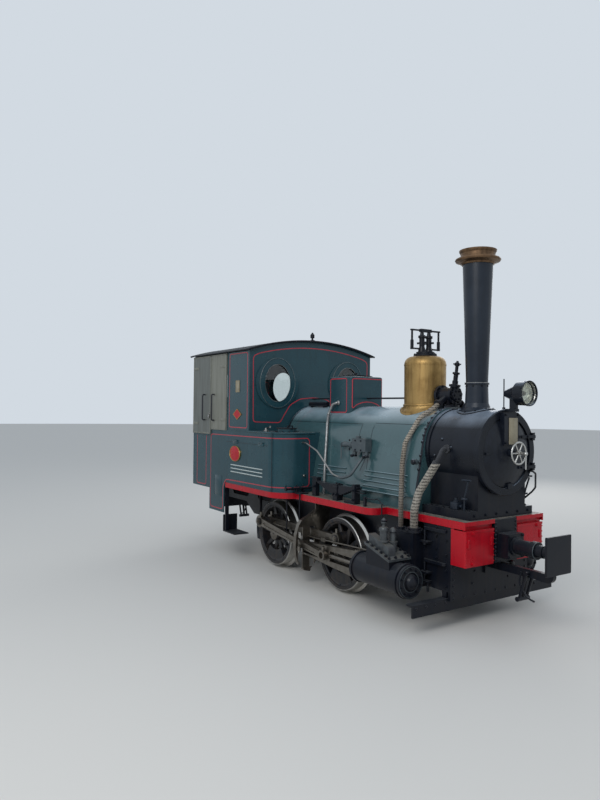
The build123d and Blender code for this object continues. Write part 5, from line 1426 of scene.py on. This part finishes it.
@dataclass
class Tanks(Assembly):
    """Lining, slats and beads of the side tanks and of the apron behind them."""

    half_w: float = 885.0
    front_x: float = 4.0
    corner_r: float = 240.0
    inner_y: float = 508.0
    top_z: float = 1540.0
    cab_x: float = -662.0
    apron_x: tuple[float, float] = (-1632.0, -1294.0)
    filler: tuple[float, float] = (-250.0, -640.0)
    lever_x: float = -560.0

    def unrolled(self, s: float, z: float) -> tuple[Point, Point]:
        """Find a point on the tank's right side by its distance round from the lining's inner end.

        Args:
            s: The distance round the tank.
            z: The height.

        Returns:
            The point and the surface's normal there.
        """
        straight = self.half_w - self.corner_r - self.inner_y
        turn = (s - straight) / self.corner_r
        if turn <= 0:
            return (self.front_x, -self.inner_y - s, z), AHEAD
        if turn < math.pi / 2:
            way = (math.cos(turn), -math.sin(turn), 0)
            return (self.front_x - self.corner_r * (1 - way[0]),
                    -self.half_w + self.corner_r * (1 + way[1]), z), way
        back = s - straight - self.corner_r * math.pi / 2
        return (self.front_x - self.corner_r - back, -self.half_w, z), RIGHT

    def along(self, x: float) -> float:
        """Find the distance round the tank of a place on its flat side."""
        straight = self.half_w - self.corner_r - self.inner_y
        return straight + self.corner_r * math.pi / 2 + self.front_x - self.corner_r - x

    def lining(self) -> None:
        """Paint the long red line round the tank and down the apron."""
        rear, front = (self.along(x) for x in self.apron_x)
        corners = [(0, 0, 958), (0, 0, 1478), (rear, 0, 1466), (rear, 0, 566), (front, 0, 566),
                   (front, 0, 842), (self.along(-1218), 0, 938)]
        spots = [self.unrolled(p.x, p.z) for p in spaced(rounded(corners, 44), 26)]
        form = Form("tank_lining").strip([p for p, _ in spots], [n for _, n in spots], 10, closed=True)
        self.pair(form, "lining_red")

    def fittings(self) -> None:
        """Add the pale slats, seams, apron doors, brackets, top bead, rivets, cocks and nuts."""
        side = -self.half_w
        # Painted highlight: the tank slats are pale grey to stand for their lit upper edges.
        self.work.slats("tank_slats", "bare_paint",
                        [SlatRow(3, (-714, side - 4, 1124), (0, 0, -40), (730, 14, 13))])
        seam = Form("tank_seams").strip([(-158, side, 904), (-158, side, 1536)], [RIGHT], 8, 0.8)
        self.pair(seam.strip([(-1206, side, 1392), (-236, side, 1392)], [RIGHT], 4, 0.8), "frame_black")
        panel = Form("apron_doors").block((-1532, side - 2, 718), (-1318, side + 1, 972), 0.8)
        edge = [(x, side - 2, z) for x, z in ((-1526, 724), (-1324, 724), (-1324, 966), (-1526, 966))]
        panel.strip(edge, [RIGHT], 5, 1.2, True)
        for x in (-981, -388):
            panel.block((x - 60, side - 6, 1376), (x + 60, side + 1, 1410), 3)
            panel.tube([(x - 54, side - 8, 1414), (x + 54, side - 8, 1414)], 7)
        # The bead needs more points on the round corner.
        stops = [-60, 0] + [137 + 377 * k / 12 for k in range(13)] + [self.along(self.cab_x)]
        route = [self.unrolled(s, self.top_z - 9) for s in stops]
        panel.tube([(p[0] + 2 * n[0], p[1] + 2 * n[1], p[2]) for p, n in route], 9, 10)
        self.pair(panel, "deep_green")
        heads = self.work.rivets("tank_rivets", 6.0)
        self.pair(heads.row((-1180, side, 916), (-180, side, 916), 24, RIGHT), "deep_green")
        cocks = Form("tank_cocks").turned([(-1, 0), (-1, 15), (8, 15), (10, 8), (24, 8), (26, 14), (34, 11),
                                           (34, 0)], (self.front_x, -583, 1080), AHEAD, 20)
        self.pair(cocks, "polished_steel")
        self.pair(self.work.nuts("tank_filler_nuts", 9.0).ring((*self.filler, self.top_z), 122, 10, UP, 18),
                  "frame_black")

    def lever(self) -> None:
        """Set the small hand lever on each tank's top."""
        x, y, z = self.lever_x, -720, self.top_z
        form = Form("tank_top_levers").turned([(0, 0), (0, 34), (10, 34), (14, 16), (34, 14), (34, 0)],
                                              (x, y, z))
        form.tube([(x, y, z + 28), (x + 90, y - 4, z + 44)], 6)
        form.tube([(x + 98, y - 4, z + 36), (x + 98, y - 4, z + 60)], 9)
        self.pair(form, "polished_steel")

    def build(self) -> None:
        """Dress the tanks."""
        self.lining()
        self.fittings()
        self.lever()


# Boiler
@dataclass
class Boiler(Assembly):
    """Lap seams, slats, box lining and the bolts of the fittings on the boiler."""

    box_x: tuple[float, float] = (-52.0, 361.0)
    box_half_w: float = 229.0
    box_corner: float = 46.0
    seam_x: float = 872.0
    front_x: float = 1593.0
    slat_tilt: float = 10.3
    dome_x: float = 1228.0
    turret_z: float = 1937.0
    line: float = 10.0

    def seams(self) -> None:
        """Lap the cladding sheets: joints round the barrel and along it, and a band at each end."""
        heights = [904, 960, 1023] + list(range(1050, 1500, 50)) + list(range(1520, 1810, 24)) + [1822, 1829]
        form = Form("cladding_seams")
        for x, low in ((self.seam_x, 1200), (688.0, 1320)):
            points = [flank(z) for z in heights if low <= z <= 1660]
            form.strip([(x, p[1], p[2]) for p, _ in points], [n for _, n in points], 4, 1.2)
        for x0, x1, z in ((-655, 690, 1650), (self.seam_x + 2, 1600, 1664)):
            point, normal = flank(z)
            form.strip([(x0, point[1], z), (x1, point[1], z)], [normal], 4, 1.2)
        self.pair(form, "frame_black")
        bands = Form("cladding_bands")
        half = [flank(z) for z in heights if z >= FLARE_Z]
        for x in (-640.0, self.front_x):
            points = [((x, p[1], p[2]), n) for p, n in half]
            points += [((x, -p[1], p[2]), (0, -n[1], n[2])) for p, n in reversed(half)]
            bands.strip([p for p, _ in points], [n for _, n in points], 26, 2)
        self.fit(bands, "smokebox_black")

    def slats(self) -> None:
        """Press the two sets of slats into the flanks."""
        rows = []
        for count, x0, x1, top, pitch in ((5, 860, 1465, 1200, 46), (3, 80, 560, 1195, 44)):
            (_, y, _), (_, low_y, _) = flank(top)[0], flank(top - pitch)[0]
            rows.append(SlatRow(count, ((x0 + x1) / 2, -y - 2, top), (0, y - low_y, -pitch),
                                (x1 - x0, 18, 15), -self.slat_tilt))
        self.work.slats("cladding_slats", "boiler_cladding", rows)

    def box(self) -> None:
        """Line the top box, rivet its foot and bolt its lid."""
        (x0, x1), w, r = self.box_x, self.box_half_w, self.box_corner
        form = Form("top_box_lining")
        a, b = x0 + 52, x1 - 72
        outline = rounded([(a, -w, 1763), (b, -w, 1763), (b, -w, 2126), (a, -w, 2126)], 24)
        for sign in (1, -1):
            form.strip([(p.x, sign * p.y, p.z) for p in outline], [(0, -sign, 0)], self.line, closed=True)
        front = [(-204, 1806), (-204, 2124), (204, 2124), (204, 1806), (145, 1848), (70, 1871), (0, 1878),
                 (-70, 1871), (-145, 1848)]
        route, normals = [], []
        for point in spaced(rounded([(0, y, z) for y, z in front], 22), 9):
            # The line follows the box's rounded corners.
            past = max(abs(point.y) - (w - r), 0.0)
            deep = math.sqrt(r ** 2 - past ** 2)
            route.append((x1 - r + deep, point.y, point.z))
            normals.append((deep / r, math.copysign(past / r, point.y), 0))
        form.strip(route, normals, self.line, closed=True)
        self.fit(form, "lining_red")
        foot = self.work.rivets("top_box_rivets", 5.0)
        self.pair(foot.row((x0 + 60, -w, 1738), (x1 - 60, -w, 1738), 8, RIGHT), "deep_green")
        lid = self.work.nuts("box_lid_nuts", 7.0)
        self.fit(lid.ring(((x0 + x1) / 2, 0, 2160.3), 154, 10, UP, 18), "frame_black", Body.BOX_LID)

    def pipes(self) -> None:
        """Slip the painted sleeve over the feed pipe's rising end and the coat over the sand pipe."""
        rise = bent([(650, -594.5, 1126), (694, -594, 1118), (815, -580, 1154), (860, -500, 1290),
                     (860, -452, 1340), (860, -452, 1382)], (110, 80, 50, 18))
        self.pair(Form("feed_pipe_sleeves").tube(rise, 14, 16), "feed_valves")
        fall = bent([(150, -231, 1865), (150, -256, 1865), (95, -272, 1845), (40, -283, 1745),
                     (122, -358, 1651), (182, -412, 1465), (214, -449, 1260), (238, -470, 1152),
                     (244.5, -484, 920)],
                    (18, 34, 34, 90, 150, 300, 300))
        coat = Form("sand_pipe_coats").tube(fall, 14, 16)
        coat.turned([(0, 0), (0, 24), (8, 26), (14, 18), (14, 0)], (150, -230, 1865), RIGHT, 20)
        self.pair(coat, "bare_pipe")

    def turret(self) -> None:
        """Bolt the flanges of the regulator housing, the valves on the dome and the feed valves."""
        nuts = self.work.nuts("boiler_fitting_nuts", 10.0)
        for x, radius, count, way, first in ((1440, 82, 10, BACK, 0.0), (1466, 85, 10, AHEAD, 18),
                                             (1626, 72, 10, AHEAD, 10), (1650, 40, 6, AHEAD, 0.0)):
            nuts.ring((x, 0, self.turret_z), radius, count, way, first)
        nuts.ring((1539, 0, 1844), 84, 8, UP, 22).ring((self.dome_x, 0, 2334), 100, 10, UP, 18)
        self.fit(nuts, "frame_black")
        foot = self.work.nuts("feed_valve_nuts", 8.0)
        foot.at([(x, -517, z) for x in (718, 892) for z in (1402, 1492)], RIGHT)
        self.pair(foot.at([(806, -517, z) for z in (1492, 1402)], RIGHT), "frame_black")
        knobs = Form("feed_valve_knobs")
        for x, z in ((715, 1340), (898, 1338)):
            knobs.turned([(0, 0), (0, 24.5), (6, 26), (14, 26), (20, 24.5), (20, 0)],
                         (x, -452, z - 10), UP, 24)
            knobs.turned([(20, 0), (20, 14), (34, 18), (44, 14), (48, 0)], (x, -452, z), RIGHT, 20)
        knobs.turned([(-3, 0), (-3, 26), (3, 26), (3, 0)], (512, -440, 1440), AHEAD, 24)
        knobs.turned([(468, 0), (470, 23), (476, 27), (484, 25), (491, 18), (494, 8), (494, 0)],
                     (1575, 0, 1340), RIGHT, 24)
        self.pair(knobs, "smokebox_black")

    def dome(self) -> None:
        """Spin the dome's two hoops and its foot, which is draped over the cladding."""
        hoop = Form("dome_foot_hoop")
        hoop.turned([(0, 199), (0, 207), (7, 210), (14, 207), (18, 199)], (self.dome_x, 0, 1836), steps=64)
        hoop.turned([(0, 199), (0, 203), (10, 203), (12, 199)], (self.dome_x, 0, 2226), steps=64)
        self.fit(hoop, "bright_brass")
        skirt = Form("dome_skirt").turned([(-2, 196), (-2, 236), (3, 238), (7, 235), (12, 222), (24, 208),
                                           (46, 200.5), (46, 196)], (0, 0, 0), steps=72)
        self.fit(skirt.reshape(lambda v: (v.x + self.dome_x, v.y, v.z + crown(CLAD_R, v.y))), "bright_brass")

    def build(self) -> None:
        """Dress the boiler."""
        self.seams()
        self.slats()
        self.box()
        self.pipes()
        self.turret()
        self.dome()


@dataclass
class FrontEnd(Assembly):
    """Smokebox, chimney and headlamp details."""

    shell_r: float = 356.0
    ring_x: float = 1583.0
    patch_x: tuple[float, float] = (1700.0, 1896.0)
    patch_z: int = 1545
    plate: tuple[float, float, float, float] = (-37.0, 69.0, 1520.0, 1742.0)
    chimney_x: float = 1872.0
    flange_sunk: float = 0.4
    lamp: Point = (2190.0, 0.0, 1945.0)
    lubricator_at: Point = (1970.0, -359.0, 970.0)
    lever_at: Point = (2086.0, -386.0, 1063.0)

    def on_shell(self, z: float) -> tuple[float, Point]:
        """Find the smokebox's right side at a height.

        Args:
            z: The height.

        Returns:
            How far out it is, and its normal.
        """
        rise = z - BOILER_Z
        y = -math.sqrt(self.shell_r ** 2 - rise ** 2)
        return y, (0, y / self.shell_r, rise / self.shell_r)

    def smokebox(self) -> None:
        """Rivet the cladding's front edge, scribe the patch plate and bolt the saddle."""
        heads = self.work.rivets("smokebox_rivets", 15.0, 13.0)
        round_barrel = [BOILER_Z + CLAD_R * math.cos(math.radians(5 + 9.4 * k)) for k in range(9)]
        for height in round_barrel + [1392, 1332, 1272]:
            (_, y, z), out = flank(height)
            heads.spots += [((self.ring_x, s * y, z), (0.1, s * out[1], out[2])) for s in (-1, 1)]
        for x, z in ((1905, 1478), (1790, 1545), (1712, 1400)):
            y, out = self.on_shell(z)
            heads.spots.append(((x, y, z), out))
        self.fit(heads, "smokebox_black")
        (x0, x1), top = self.patch_x, self.patch_z
        y, out = self.on_shell(top)
        lines = Form("smokebox_patch").strip([(x0, y, top), (x1 + 2, y, top)], [out], 4, 1.5)
        spots = [(z, *self.on_shell(z)) for z in range(top, 1280, -20)]
        lines.strip([(x1, y, z) for z, y, _ in spots], [n for _, _, n in spots], 4, 1.5)
        self.pair(lines, "smokebox_black")
        feet = self.work.nuts("saddle_bolts", 11.0)
        feet.row((1680, -360, 970), (2110, -360, 970), 7, UP).both_sides()
        self.fit(feet.row((2156, -340, 935), (2156, 340, 935), 6, AHEAD), "frame_black")

    def door(self) -> None:
        """Fix the blank cream plate and the nuts to the smokebox door."""
        y0, y1, z0, z1 = self.plate
        plate = Form("front_blank_plate").block((2249, y0, z0), (2257, y1, z1), 3)
        self.fit(plate, "cream_enamel", Body.SMOKEBOX_DOOR)
        studs = self.work.nuts("door_studs", 9.0)
        studs.at([(2250, y, z) for y in (-78, 80) for z in (1532, 1766)], AHEAD)
        studs.at([(2234, y, BOILER_Z + s) for y in (150, 230) for s in (-130, 130)], AHEAD)
        self.fit(studs, "frame_black", Body.SMOKEBOX_DOOR)

    def chimney(self) -> None:
        """Drape the chimney's flange over the smokebox, and bolt it and the joint ring."""
        form = Form("chimney_flange")
        form.turned([(0, 112), (0, 171), (9, 171), (13, 166), (13, 112)], (self.chimney_x, 0, 0), steps=64)
        form.reshape(lambda v: (v.x, v.y, v.z + (crown(self.shell_r, v.y) - self.flange_sunk)))
        self.fit(form, "smokebox_black")
        nuts = self.work.nuts("chimney_nuts", 8.0)
        for turn in (math.radians(36 * k + 18) for k in range(10)):
            y = 150 * math.sin(turn)
            spot = (self.chimney_x + 150 * math.cos(turn), y, crown(self.shell_r, y) + 12)
            nuts.spots.append((spot, (0, y / self.shell_r, 1)))
        nuts.ring((self.chimney_x, 0, 2016), 95, 8, UP, 22, outward=True)
        self.fit(nuts, "frame_black")
        hoop = Form("chimney_joint")
        hoop.turned([(0, 94), (0, 107.5), (4, 107.5), (4, 94)], (self.chimney_x, 0, 2042), steps=48)
        self.fit(hoop, "polished_steel")

    def headlamp(self) -> None:
        """Silver the lamp's bowl and give it a burner, nuts and a bright rim."""
        bowl = Form("lamp_bowl").turned([(131, 0), (131, 40), (138, 58), (152, 76), (170, 85), (192, 88),
                                         (192, 86), (171, 83), (154, 74), (141, 57), (135, 40), (134, 0)],
                                        self.lamp, AHEAD, 48)
        self.fit(bowl, "lamp_silver")
        burner = Form("lamp_burner").turned([(130, 0), (130, 15), (152, 15), (158, 20), (174, 20), (186, 12),
                                             (190, 0)], self.lamp, AHEAD, 24)
        self.fit(burner, "cream_enamel")
        x, y, z = self.lamp
        nuts = self.work.nuts("lamp_nuts", 6.0).ring((x + 217, y, z), 101, 8, AHEAD, 22, outward=True)
        self.fit(nuts.at([(2288, y, 1817) for y in (-20, 20)], UP), "smokebox_black")
        rim = Form("lamp_rim").turned([(212, 92), (212, 94.5), (222, 96), (223, 94)], self.lamp, AHEAD, 48)
        self.fit(rim, "polished_steel")

    def lubricator(self) -> None:
        """Stand the small lubricator and the lever on both ends of the saddle's base."""
        x, y, z = self.lubricator_at
        body = Form("saddle_lubricator").block((x - 40, y - 33, z), (x + 40, y + 33, z + 62), 8)
        body.turned([(62, 0), (62, 26), (74, 26), (78, 14), (96, 12), (96, 0)], (x, y, z), UP, 24)
        body.turned([(0, 0), (0, 12), (22, 12), (24, 18), (34, 18), (34, 0)], (x + 40, y, z + 30), AHEAD, 20)
        self.pair(body, "chimney")
        x, y, z = self.lever_at
        lever = Form("saddle_lever").tube(
            [(x - 6, y + 6, z - 97), (x, y, z + 8), (x + 46, y - 6, z + 153)], 8)
        lever.turned([(0, 0), (0, 26), (8, 28), (16, 26), (16, 0)], (x, y, z), (0, 0.1, 1), 24)
        self.pair(lever.tube([(x - 22, y - 6, z + 161), (x + 72, y - 6, z + 165)], 8), "chimney")

    def build(self) -> None:
        """Dress the front end."""
        self.smokebox()
        self.door()
        self.chimney()
        self.headlamp()
        self.lubricator()


# Platform, frames and running gear
@dataclass
class Underframe(Assembly):
    """Bolts, strips and fittings of beams, boxes, buffers, cylinders and springs."""

    beam_x: float = 2040.0
    rear_plate_x: float = -2236.0
    pilot_x: float = 2014.7
    box_face_x: float = 2197.0
    cylinder_y: float = 750.0
    axle_z: float = 383.0
    crank: float = 150.0
    slope: float = 0.3133
    valance_z: float = 852.0
    buffer_x: float = 2300.0
    rear_buffer_x: float = -2350.0

    def beams(self) -> None:
        """Rivet the front and rear plates, the centre box and the pilot board."""
        heads = self.work.rivets("beam_rivets", 12.0, 9.0)
        front, rear = self.beam_x, self.rear_plate_x
        for sign in (-1, 1):
            heads.row((front, sign * 455, 249), (front, sign * 455, 510), 6, AHEAD)
            heads.at([(front, sign * y, z) for y, z in ((229, 346), (201, 446))], AHEAD)
            heads.row((rear, sign * 510, 470), (rear, sign * 510, 860), 7, BACK)
            heads.row((self.box_face_x, sign * 126, 566), (self.box_face_x, sign * 126, 866), 10, AHEAD)
        heads.row((front, -329, 251), (front, 329, 251), 6, AHEAD)
        heads.row((rear, -400, 470), (rear, 400, 470), 9, BACK)
        for y0, y1 in ((-850, -520), (520, 850)):
            heads.row((self.pilot_x, y0, 224), (self.pilot_x, y1, 224), 4, AHEAD)
        self.fit(heads, "frame_black")
        bolts = self.work.nuts("casting_bolts", 11.0)
        for x, heights in ((1990, (340, 470, 600, 720)), (1880, (560, 640, 744, 812))):
            bolts.at([(x, -491, z) for z in heights], RIGHT)
        self.pair(bolts, "frame_black")

    def boxes(self) -> None:
        """Edge the lids of the red boxes, hinge them, and rivet boxes and valances."""
        x, z = self.box_face_x, self.valance_z
        form = Form("red_box_lids").strip([(x, -488, 818), (x, -149, 818)], [AHEAD], 20, 2.5)
        form.block((2168, -486, 824), (2174, -150, 889), 1)
        form.block((x, -196, 690), (x + 8, -168, 760), 2).block((x, -470, 690), (x + 8, -442, 760), 2)
        self.pair(form, "signal_red")
        self.pair(self.work.nuts("red_box_nuts", 15.0, 11.0).at([(x, -408, 559), (x, -408, 806)], AHEAD),
                  "signal_red")
        pins = self.work.rivets("red_box_rivets", 6.0)
        for y in (-486, -151):
            pins.row((x, y, 560), (x, y, 790), 6, AHEAD)
        self.pair(pins, "signal_red")
        valance = self.work.rivets("valance_rivets", 6.0)
        for x0, x1, y, count in ((1210, 60, -688, 14), (-260, -1180, -880, 11), (2150, 1290, -499, 9)):
            valance.row((x0, y, z), (x1, y, z), count, RIGHT)
        self.pair(valance, "signal_red")

    def buffers(self) -> None:
        """Bolt the buffer bases and put a thin grey hoop on the front sleeve's end, a painted highlight of
        its edge.
        """
        nuts = self.work.nuts("buffer_nuts", 12.0)
        for x, way in ((self.buffer_x, AHEAD), (self.rear_buffer_x, BACK)):
            nuts.at([(x, y, z) for y in (-84, 84) for z in (594, 766)], way)
        self.fit(nuts, "frame_black")
        # A thin grey hoop on the sleeve's front edge: a painted highlight.
        sleeve = Form("buffer_sleeve_highlights")
        sleeve.turned([(2511, 66), (2511, 72.8), (2514.5, 71.6), (2514.5, 66)], (0, 0, 680), AHEAD, 48)
        self.fit(sleeve, "feed_valves")

    def cylinders(self) -> None:
        """Set the nuts of covers, chest lid and pipe flanges, the pale rings of painted highlight on the
        covers, the bands and the oiler caps.
        """
        y, z = -self.cylinder_y, self.axle_z
        nuts = self.work.nuts("cylinder_nuts", 12.0, 13.0)
        nuts.ring((1850, y, z), 107, 10, AHEAD, 18).ring((1222, y, z), 84, 8, BACK, 22)
        edge = [(a, b) for a in (1408, 1470, 1530, 1590, 1650) for b in (-852, -634)]
        edge += [(1692, b) for b in (-852, -780, -708, -634)] + [(1402, b) for b in (-690, -744)]
        nuts.at([(a, b, 530 + self.slope * (1700 - a) + 20.6) for a, b in edge], (self.slope, 0, 1))
        self.pair(nuts.ring((1670, -550, 768), 69, 6, UP, 30), "frame_black")
        bands = Form("cylinder_bands")
        for x in (1290, 1420, 1560, 1700):
            bands.turned([(x, 118), (x, 122.5), (x + 22, 122.5), (x + 22, 118)], (0, y, z), AHEAD, 48)
        self.pair(bands, "frame_black")
        # Pale grey rings on the cylinder cover's face: painted highlights of its edges.
        rings = Form("cylinder_cover_highlights")
        for r in (81, 126):
            rings.turned([(1849, r), (1849, r + 4), (1852, r + 4), (1852, r)], (0, y, z), AHEAD, 48)
        self.pair(rings, "feed_valves")
        caps = Form("oiler_caps")
        caps.turned([(0, 0), (0, 24), (5, 26), (12, 26), (16, 22), (16, 0)], (1552, -790, 838), UP, 24)
        caps.turned([(0, 8), (0, 33.5), (5, 34), (5, 8)], (1576, -706, 746), UP, 24)
        for b in (-614, -698, -528, -834):
            caps.turned([(0, 0), (0, 6), (10, 6), (12, 9), (18, 9), (20, 0)], (50, b, 972), UP, 12)
        self.pair(caps, "frame_black")

    def springs(self) -> None:
        """Bind the leaf springs' buckles and bolt their brackets to the platform."""
        form = Form("spring_buckles")
        for z in (936, 1018):
            form.block((620, -656, z), (700, -574, z + 22), 3)
        self.pair(form, "frame_black")
        nuts = self.work.nuts("spring_nuts", 11.0)
        nuts.at([(636, -657, 960), (684, -657, 960)], RIGHT).at([(640, -615, 1060), (680, -615, 1060)], UP)
        nuts.at([(276, -646, 1000), (300, -646, 1000), (958, -661, 940), (958, -661, 1030)], RIGHT)
        self.pair(nuts, "frame_black")

    def running_gear(self) -> None:
        """Cap the crank pins and the axle ends of each wheelset."""
        cap = [(626, 40), (626, 74), (630, 76), (635, 68), (635, 56), (637, 52), (637, 16), (632, 12),
               (632, 0), (626, 0)]
        for body, x, pin_y, tall in ((Body.FRONT_WHEELS, 710.0, 690.0, 7.0),
                                     (Body.REAR_WHEELS, -515.0, 839.0, 12.0)):
            z = self.axle_z
            nuts = self.work.nuts(f"{body.value}_pin_nuts", 24.0, tall)
            nuts.at([(x, -pin_y, z + self.crank)], RIGHT).at([(x + self.crank, pin_y, z)], LEFT)
            self.fit(nuts, "motion_steel", body)
            ends, studs = Form(f"{body.value}_hub_caps"), self.work.rivets(f"{body.value}_tyre_screws", 8.0)
            for sign in (-1, 1):
                ends.turned(cap, (x, 0, z), (0, sign, 0), 40)
                studs.ring((x, sign * 610, z), 303, 10, (0, sign, 0), 18)
            self.fit(ends, "motion_steel", body)
            self.fit(studs, "frame_black", body)

    def build(self) -> None:
        """Dress everything from the platform down."""
        self.beams()
        self.boxes()
        self.buffers()
        self.cylinders()
        self.springs()
        self.running_gear()


def main() -> None:
    """Build the studio, paint the frame and dress every sub-assembly."""
    logging.basicConfig(level=logging.INFO, format="%(name)s: %(message)s")
    Studio().build()
    shop = PaintShop()
    shop.mix()
    shop.dress_nodes()
    work = Workshop(shop)
    for assembly in (Cab(work), Tanks(work), Boiler(work), FrontEnd(work), Underframe(work)):
        assembly.build()
        log.info("%s dressed", type(assembly).__name__)


if __name__ == "__main__":
    main()
